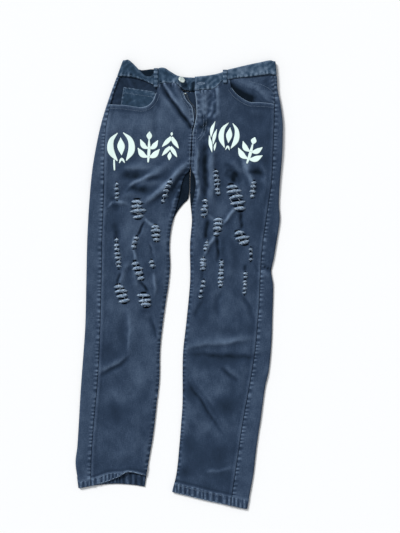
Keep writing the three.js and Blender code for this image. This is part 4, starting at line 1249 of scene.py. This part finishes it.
def washed_denim():
    """Faded denim: twill, slubs and blotches, pale where it is worn or has painted highlights and dark where
    shade is painted, with the bars along its seams.
    """
    inputs = {"Cloth": "Vector", "Tone": "Float", "Seam": "Float", "Run": "Float"}
    inputs |= {"Deep": "Color", "Middle": "Color", "Worn": "Color"}
    outputs = {"Color": "Color", "Height": "Float", "Roughness": "Float"}
    graph, given, out = group("washed denim", inputs, outputs)
    millimetres = graph.add("Mapping", {"Vector": given["Cloth"], "Scale": (1000, 1000, 1000)}).outputs[0]
    turned = graph.add("Mapping", {"Vector": millimetres, "Rotation": (0, 0, math.radians(58))}).outputs[0]
    wave = {"Vector": turned, "Scale": 0.3, "Distortion": 1.2, "Detail": 2.0, "Detail Scale": 1.5}
    twill = graph.add("TexWave", wave).outputs["Fac"]
    slub = graph.noise(millimetres, 0.9, 3.0, (1, 0.07, 1))
    grain = graph.noise(millimetres, 0.33, 4.0, rough=0.7)
    blotch = graph.noise(millimetres, 0.035, 3.0, (1, 0.7, 1))
    puff = graph.math("SINE", graph.math("MULTIPLY", given["Run"], 2 * math.pi / PUCKER))
    uneven = graph.spread(graph.noise(millimetres, 0.09, 3.0, rough=0.7), 0.3, 0.62)
    near = graph.math("MULTIPLY", graph.spread(given["Seam"], 13.0, 3.0), uneven)
    bars = graph.math("MULTIPLY", near, graph.spread(puff, -0.5, 1.0))
    between = graph.math("MULTIPLY", near, graph.spread(puff, 0.2, -1.0))
    sewn_in = graph.spread(given["Seam"], 1.5, 0.5)
    tone = given["Tone"]
    for value, middle, amount in (
        (slub, 0.5, 0.6), (grain, 0.5, 1.0), (blotch, 0.5, 0.9), (twill, 0.5, 0.1), (bars, 0.0, 0.78),
        (between, 0.0, -0.45), (sewn_in, 0.0, -0.7),
    ):
        part = graph.math("MULTIPLY", graph.math("SUBTRACT", value, middle), amount)
        tone = graph.math("ADD", tone, part)
    # the tone holds wear and painted light and shade: low tones run to the deep colour, high ones to the
    # worn colour
    faded = graph.blend(graph.spread(tone, -1.5, 0.3), given["Deep"], given["Middle"])
    worn = graph.blend(graph.spread(tone, -0.25, 1.6), faded, given["Worn"])
    lint = graph.spread(graph.noise(millimetres, 0.8, 2.0), 0.76, 0.8)
    worn = graph.blend(graph.math("MULTIPLY", lint, 0.35), worn, given["Worn"])
    graph.tree.links.new(worn, out["Color"])
    height = graph.math("MULTIPLY", twill, 0.25)
    for value, amount in ((slub, 0.3), (bars, 0.8), (grain, 0.6)):
        height = graph.math("ADD", height, graph.math("MULTIPLY", value, amount))
    graph.tree.links.new(height, out["Height"])
    graph.tree.links.new(graph.spread(tone, -1, 1, 0.95, 0.8), out["Roughness"])
    return graph.tree


def twisted_yarn():
    """Yarn: fine fibres along and across, with pale and dark lengths."""
    inputs = {"Place": "Vector", "Dark": "Color", "Pale": "Color"}
    graph, given, out = group("twisted yarn", inputs, {"Color": "Color", "Height": "Float"})
    lengths = graph.noise(given["Place"], 260.0, 3.0)
    fibre = graph.noise(given["Place"], 1800.0, 2.0)
    share = graph.math("ADD", graph.spread(lengths, 0.3, 0.72), graph.math("MULTIPLY", fibre, 0.2))
    graph.tree.links.new(graph.blend(share, given["Dark"], given["Pale"]), out["Color"])
    graph.tree.links.new(fibre, out["Height"])
    return graph.tree


GROUPS = dict(denim=washed_denim(), yarn=twisted_yarn())


def finish_with(name, **settings):
    """A new material, its graph and its surface shader, with the shader's constants set."""
    material = bpy.data.materials.new(name)
    material.use_nodes = True
    graph = Graph(material.node_tree)
    surface = material.node_tree.nodes["Principled BSDF"]
    for key, value in settings.items():
        surface.inputs[key.replace("_", " ").title().replace("Ior", "IOR")].default_value = value
    return material, graph, surface


def placed(graph, which, inputs):
    """A shared node group put into a material's graph, with its inputs fed; its outputs."""
    node = graph.tree.nodes.new("ShaderNodeGroup")
    node.node_tree = GROUPS[which]
    graph.feed(node, inputs)
    return node.outputs


def bumped(graph, surface, height, distance, strength=1.0):
    bump = graph.add("Bump", {"Height": height, "Distance": distance, "Strength": strength})
    graph.tree.links.new(bump.outputs[0], surface.inputs["Normal"])


def denim(name, deep, middle, worn):
    """Denim from its colours when dark, middling and worn."""
    material, graph, surface = finish_with(
        name, sheen_weight=0.03, sheen_roughness=0.5, specular_ior_level=0.12,
    )
    inputs = {"Cloth": graph.add("UVMap", uv_map="cloth").outputs[0]}
    for key in ("Tone", "Seam", "Run"):
        inputs[key] = graph.add("Attribute", attribute_name=key.lower()).outputs["Fac"]
    out = placed(graph, "denim", inputs | {"Deep": deep, "Middle": middle, "Worn": worn})
    graph.tree.links.new(out["Color"], surface.inputs["Base Color"])
    graph.tree.links.new(out["Roughness"], surface.inputs["Roughness"])
    bumped(graph, surface, out["Height"], 0.0005)
    return material


def yarn(name, dark, pale):
    """Thread, fray or woven tape, from its two colours."""
    material, graph, surface = finish_with(name, roughness=0.85, sheen_weight=0.1, specular_ior_level=0.2)
    place = graph.add("TexCoord").outputs["Object"]
    out = placed(graph, "yarn", {"Place": place, "Dark": dark, "Pale": pale})
    graph.tree.links.new(out["Color"], surface.inputs["Base Color"])
    bumped(graph, surface, out["Height"], 0.0001)
    return material


def ink(name, fresh, rubbed):
    """Pale rubbery ink, rubbed thin in small cracks and at blotches."""
    material, graph, surface = finish_with(name, roughness=0.6, specular_ior_level=0.35)
    place = graph.add("TexCoord").outputs["Object"]
    patches = graph.spread(graph.noise(place, 60.0, 4.0), 0.62, 0.8)
    speckle = graph.spread(graph.noise(place, 700.0, 3.0), 0.62, 0.72)
    worn = graph.math("MULTIPLY", graph.math("ADD", patches, speckle, clamp=True), 0.3)
    graph.tree.links.new(graph.blend(worn, fresh, rubbed), surface.inputs["Base Color"])
    bumped(graph, surface, graph.noise(place, 900.0, 2.0), 0.0002, 0.6)
    return material


def metal(name, clean, dull, roughness):
    """Plated metal with scuffs and a little tarnish."""
    material, graph, surface = finish_with(name, metallic=0.85, roughness=roughness)
    place = graph.add("TexCoord").outputs["Object"]
    tarnish = graph.spread(graph.noise(place, 420.0, 4.0), 0.45, 0.75)
    scuff = graph.noise(place, 2600.0, 2.0, (1, 0.15, 1))
    graph.tree.links.new(graph.blend(tarnish, clean, dull), surface.inputs["Base Color"])
    rough = graph.spread(scuff, 0.3, 0.8, roughness * 0.7, min(1.0, roughness * 1.5))
    graph.tree.links.new(rough, surface.inputs["Roughness"])
    bumped(graph, surface, scuff, 0.0001, 0.4)
    return material


DENIM_CLOTH = denim(
    "faded blue-black denim", srgb(0.015, 0.068, 0.115), srgb(0.165, 0.23, 0.32), srgb(0.42, 0.5, 0.6)
)
WORN_CLOTH = denim(
    "denim worn paler", srgb(0.02, 0.078, 0.125), srgb(0.18, 0.27, 0.36), srgb(0.50, 0.58, 0.67),
)
THREAD = yarn("blue-grey sewing thread", srgb(0.26, 0.33, 0.42), srgb(0.52, 0.6, 0.69))
FRAY = yarn("frayed weft", srgb(0.30, 0.39, 0.49), srgb(0.55, 0.64, 0.74))
FRAY_TIPS = yarn("loose pale yarn", srgb(0.36, 0.45, 0.54), srgb(0.76, 0.83, 0.90))
INK = ink("pale mint ink", srgb(0.90, 0.98, 0.96), srgb(0.42, 0.50, 0.56))
TAPE_CLOTH = yarn("dark woven tape", srgb(0.09, 0.13, 0.19), srgb(0.2, 0.26, 0.34))
PALE_METAL = metal("pale plated metal", srgb(0.93, 0.98, 0.96), srgb(0.70, 0.76, 0.74), 0.3)
ZIP_METAL = metal("dull zip metal", srgb(0.50, 0.55, 0.60), srgb(0.22, 0.26, 0.31), 0.4)


for name, leg, rips in (("right", RIGHT, RIPS_RIGHT), ("left", LEFT, RIPS_LEFT)):
    front_panel("front_panel_" + name, leg, rips, DENIM_CLOTH)
    back_panel("back_panel_" + name, leg, DENIM_CLOTH)
    yoke("yoke_" + name, leg, DENIM_CLOTH)
waistband(WORN_CLOTH)

# The left bearer has folds of its own, in the gape of the pocket: a ridge over a hollow, the ridge with a
# painted highlight and the hollow with painted shade.
BEARER_RIDGE = [(118, 484), (132, 487), (154, 485), (187, 473), (216, 446)]
BEARER_HOLLOW = [(122, 480), (132, 467), (149, 455), (172, 446)]
BEARER_FOLDS = [(BEARER_RIDGE, 2.6, 8, 12), (BEARER_HOLLOW, -1.2, 9, 9)]
bearer_height = under_front(BEARER_DROP)


def slumped(x, y):
    return bearer_height(x, y) + sum(fold_lift(fold, x, y) for fold in BEARER_FOLDS)


# painted shade in the bearer's hollow and a painted highlight on its ridge, with mottling
def slumped_light_and_shade(x, y):
    dark, pale = nearest(BEARER_HOLLOW, x, y)[0], nearest(BEARER_RIDGE, x, y)[0]
    return -0.05 - 1.9 * np.exp(-((dark / 9) ** 2)) + 0.5 * np.exp(-((pale / 8) ** 2)) + 0.25 * mottle(x, y)


def mottled(shade, amount):
    return lambda x, y: shade + amount * mottle(x, y)


# the right bearer lies in the pocket's gape, darker with painted shade, and mottled
laid("pocket_bearer_right", BEARER_RIGHT, bearer_height, DENIM_CLOTH, mottled(-0.6, 0.3))
laid("pocket_bearer_left", BEARER_LEFT, slumped, DENIM_CLOTH, slumped_light_and_shade)
coin_height = under_front(COIN_POCKET_DROP)
laid("coin_pocket", COIN_POCKET, coin_height, WORN_CLOTH, mottled(-0.2, 0.4))
for side, place in BACK_POCKET_AT.items():
    laid("back_pocket_" + side, BACK_POCKET, on_floor, DENIM_CLOTH, place=place)
# the fly shield lies under the fly, darker with painted shade
laid("fly_shield", FLY_SHIELD, under_front(FLY_SHIELD_DROP), DENIM_CLOTH, tone=-0.5)
tape("zip_tape_right", TAPE_RIGHT_OUT, TAPE_RIGHT_IN, TAPE_CLOTH)
tape("zip_tape_left", TAPE_LEFT_IN, TAPE_LEFT_OUT, TAPE_CLOTH)
for loops, height in ((FRONT_LOOPS, raised(front_height, BAND / 2 + 0.3)), (BACK_LOOPS, on_floor)):
    for side, (x, low, high) in loops.items():
        belt_loop("belt_loop_" + side, x, low, high, height, WORN_CLOTH)

# ---- sewing: each row of stitches, by piece
on_right = raised(partial(panel_height, RIGHT), DENIM / 2)
on_left = raised(partial(panel_height, LEFT), DENIM / 2)
on_band_left = raised(front_height, BAND / 2 - 0.25)
turned_up = (HEM - DENIM) / 2
mouth_right, mouth_left = (np.array(leg["mouth"], float) for leg in (RIGHT, LEFT))
fly_stitch = [(57, 462), (58.5, 420), (59, 385), (54, 362), (43, 349)]
buttonhole = [(53 + 9 * math.cos(a), 482 + 2.6 * math.sin(a)) for a in np.linspace(0, 2 * math.pi, 15)]
low_right, top_right = ([station[k] for station in BAND_RIGHT[2:]] for k in (0, 1))
low_left, top_left = ([station[k] for station in BAND_LEFT] for k in (0, 1))
for name, height, rows, sizes in (
    ("stitching_front_right", on_right, [
        beside(mouth_right, -2.5), beside(mouth_right, -8.5),
        edge_line(RIGHT["inner"], 460, 268, -3), edge_line(RIGHT["inner"], 460, 380, -8.5),
    ], {}),
    ("stitching_front_left", on_left, [
        beside(mouth_left, 2.5), beside(mouth_left, 8.5), fly_stitch, beside(fly_stitch, 6),
        edge_line(LEFT["inner"], 462, 268, 2.6), edge_line(LEFT["inner"], 372, 268, 8),
    ], {}),
    ("stitching_hem_right", raised(on_right, turned_up), [hem_row(RIGHT)], {}),
    ("stitching_hem_left", raised(on_left, turned_up), [hem_row(LEFT)], {}),
    ("stitching_waistband_right", raised(underlap_height, BAND / 2 - 0.25), [
        beside(low_right, -3), beside(top_right, 3),
    ], {}),
    ("stitching_waistband_left", on_band_left, [
        beside(low_left, 3), beside(top_left, -3), [(41, 469), (41, 495)],
    ], {}),
    ("buttonhole", on_band_left, [buttonhole, beside(buttonhole, 1.2)], dict(
        pitch=1.4, length=1.4, width=2.2,
    )),
    ("stitching_coin_pocket", raised(coin_height, DENIM), [
        [(-131, 472), (-60, 461.5)], [(-131.5, 460), (-60, 449.5)], [(-131.5, 472), (-138.5, 424)],
    ], {}),
    ("stitching_bearer_left", raised(slumped, DENIM), [
        [(168, 487), (196, 480), (216, 470), (231, 455)],
    ], {}),
):
    sewn(name, rows, height, THREAD, **sizes)
on_loop = raised(front_height, BAND / 2 + 0.2 + LOOP)
for side, (x, low, high) in FRONT_LOOPS.items():
    tacks = [[(x - 4, y), (x + 4, y)] for y in (low + 2, low + 3.6, high - 3.6, high - 2)]
    sewn("tacks_" + side, tacks, on_loop, THREAD, pitch=1.8, length=1.8, width=1.2)

# ---- worn turned edges, frayed rips, print, zip
for side, leg, opening, inwards in (("right", RIGHT, (461, 384), -0.4), ("left", LEFT, (464, 350), 0.6)):
    rows = [np.array(leg["mouth"], float), edge_line(leg["inner"], *opening, inwards, 6), hem_row(leg, 0.6)]
    rolled_edges("edges_front_" + side, rows, raised(partial(panel_height, leg), 0.3), WORN_CLOTH)
for side, rips, height in (("right", RIPS_RIGHT, on_right), ("left", RIPS_LEFT, on_left)):
    rolls, radii, yarns = frayed_bars(rips, height)
    points, faces = tubes(rolls, radii, sides=8)
    piece("frayed_bars_" + side, points, faces, FRAY)
    points, faces = tubes(yarns + loose_threads(rips, height), 0.36, sides=4)
    piece("loose_yarns_" + side, points, faces, FRAY_TIPS)
for side, ornaments, height, drips in (
    ("right", PRINT_RIGHT, on_right, [DRIP]), ("left", PRINT_LEFT, on_left, []),
):
    points, faces = inked(ornaments, raised(height, 0.12), drips)
    piece("print_" + side, points, faces, INK)
TOOTH = dict(pitch=2.2, length=1.2, width=3.0, proud=0.9)
teeth_right = beside([(17, 460), (24, 441), (35, 428), (41, 407), (41, 390)], 0.6)
for side, row in (("right", teeth_right), ("left", [(43.5, 460), (46, 409), (43, 390)])):
    sewn("zip_teeth_" + side, [row], under_front(TEETH_DROP), ZIP_METAL, "zip_metal", **TOOTH)

for name, material in (
    ("button", PALE_METAL), ("zip_top_stop", PALE_METAL), ("zip_slider", ZIP_METAL), ("zip_tab", ZIP_METAL),
):
    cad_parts[name].data.materials.clear()
    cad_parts[name].data.materials.append(material)

# ------------------------------------------------------------------ floor
FLOOR_SIZE, FLOOR_UNDER = 16.0, 0.0005  # metres
bpy.ops.mesh.primitive_plane_add(size=FLOOR_SIZE, location=(0, 0, -FLOOR_UNDER))
floor = bpy.context.active_object
floor.name = "floor"
floor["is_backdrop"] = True

# ------------------------------------------------------------------ light and camera
SKY, SKY_STRENGTH = (0.96, 0.98, 1.0, 1), 0.46
SUN_STRENGTH, SUN_WIDTH, SUN_TURN = 3.1, math.radians(18), (math.radians(-52), 0, math.radians(40))
CAMERA_AT = (0.0504, 0.0444, 2.2)  # metres, looking straight down
CAMERA_LENS, CAMERA_FRAME = 61.9, 36

floor_finish, _, _ = finish_with("plain pale floor", base_color=(0.93, 0.935, 0.94, 1), roughness=0.9)
floor.data.materials.append(floor_finish)

world = bpy.data.worlds.new("pale surroundings")
world.use_nodes = True
world.node_tree.nodes["Background"].inputs["Color"].default_value = SKY
world.node_tree.nodes["Background"].inputs["Strength"].default_value = SKY_STRENGTH
bpy.context.scene.world = world

sun = bpy.data.lights.new("soft key light", "SUN")
sun.energy, sun.angle = SUN_STRENGTH, SUN_WIDTH
sun_object = bpy.data.objects.new("soft key light", sun)
sun_object.rotation_euler = SUN_TURN
bpy.context.scene.collection.objects.link(sun_object)

camera = bpy.data.cameras.new("camera")
camera.sensor_fit = "VERTICAL"
camera.sensor_height = CAMERA_FRAME
camera.lens = CAMERA_LENS
camera_object = bpy.data.objects.new("camera", camera)
camera_object.location = CAMERA_AT
bpy.context.scene.collection.objects.link(camera_object)
bpy.context.scene.camera = camera_object
bpy.context.scene.view_settings.view_transform = "Standard"

sizes = {"cad": [list(corner) for corner in CAD_BOX], "visual": [list(corner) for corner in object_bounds()]}
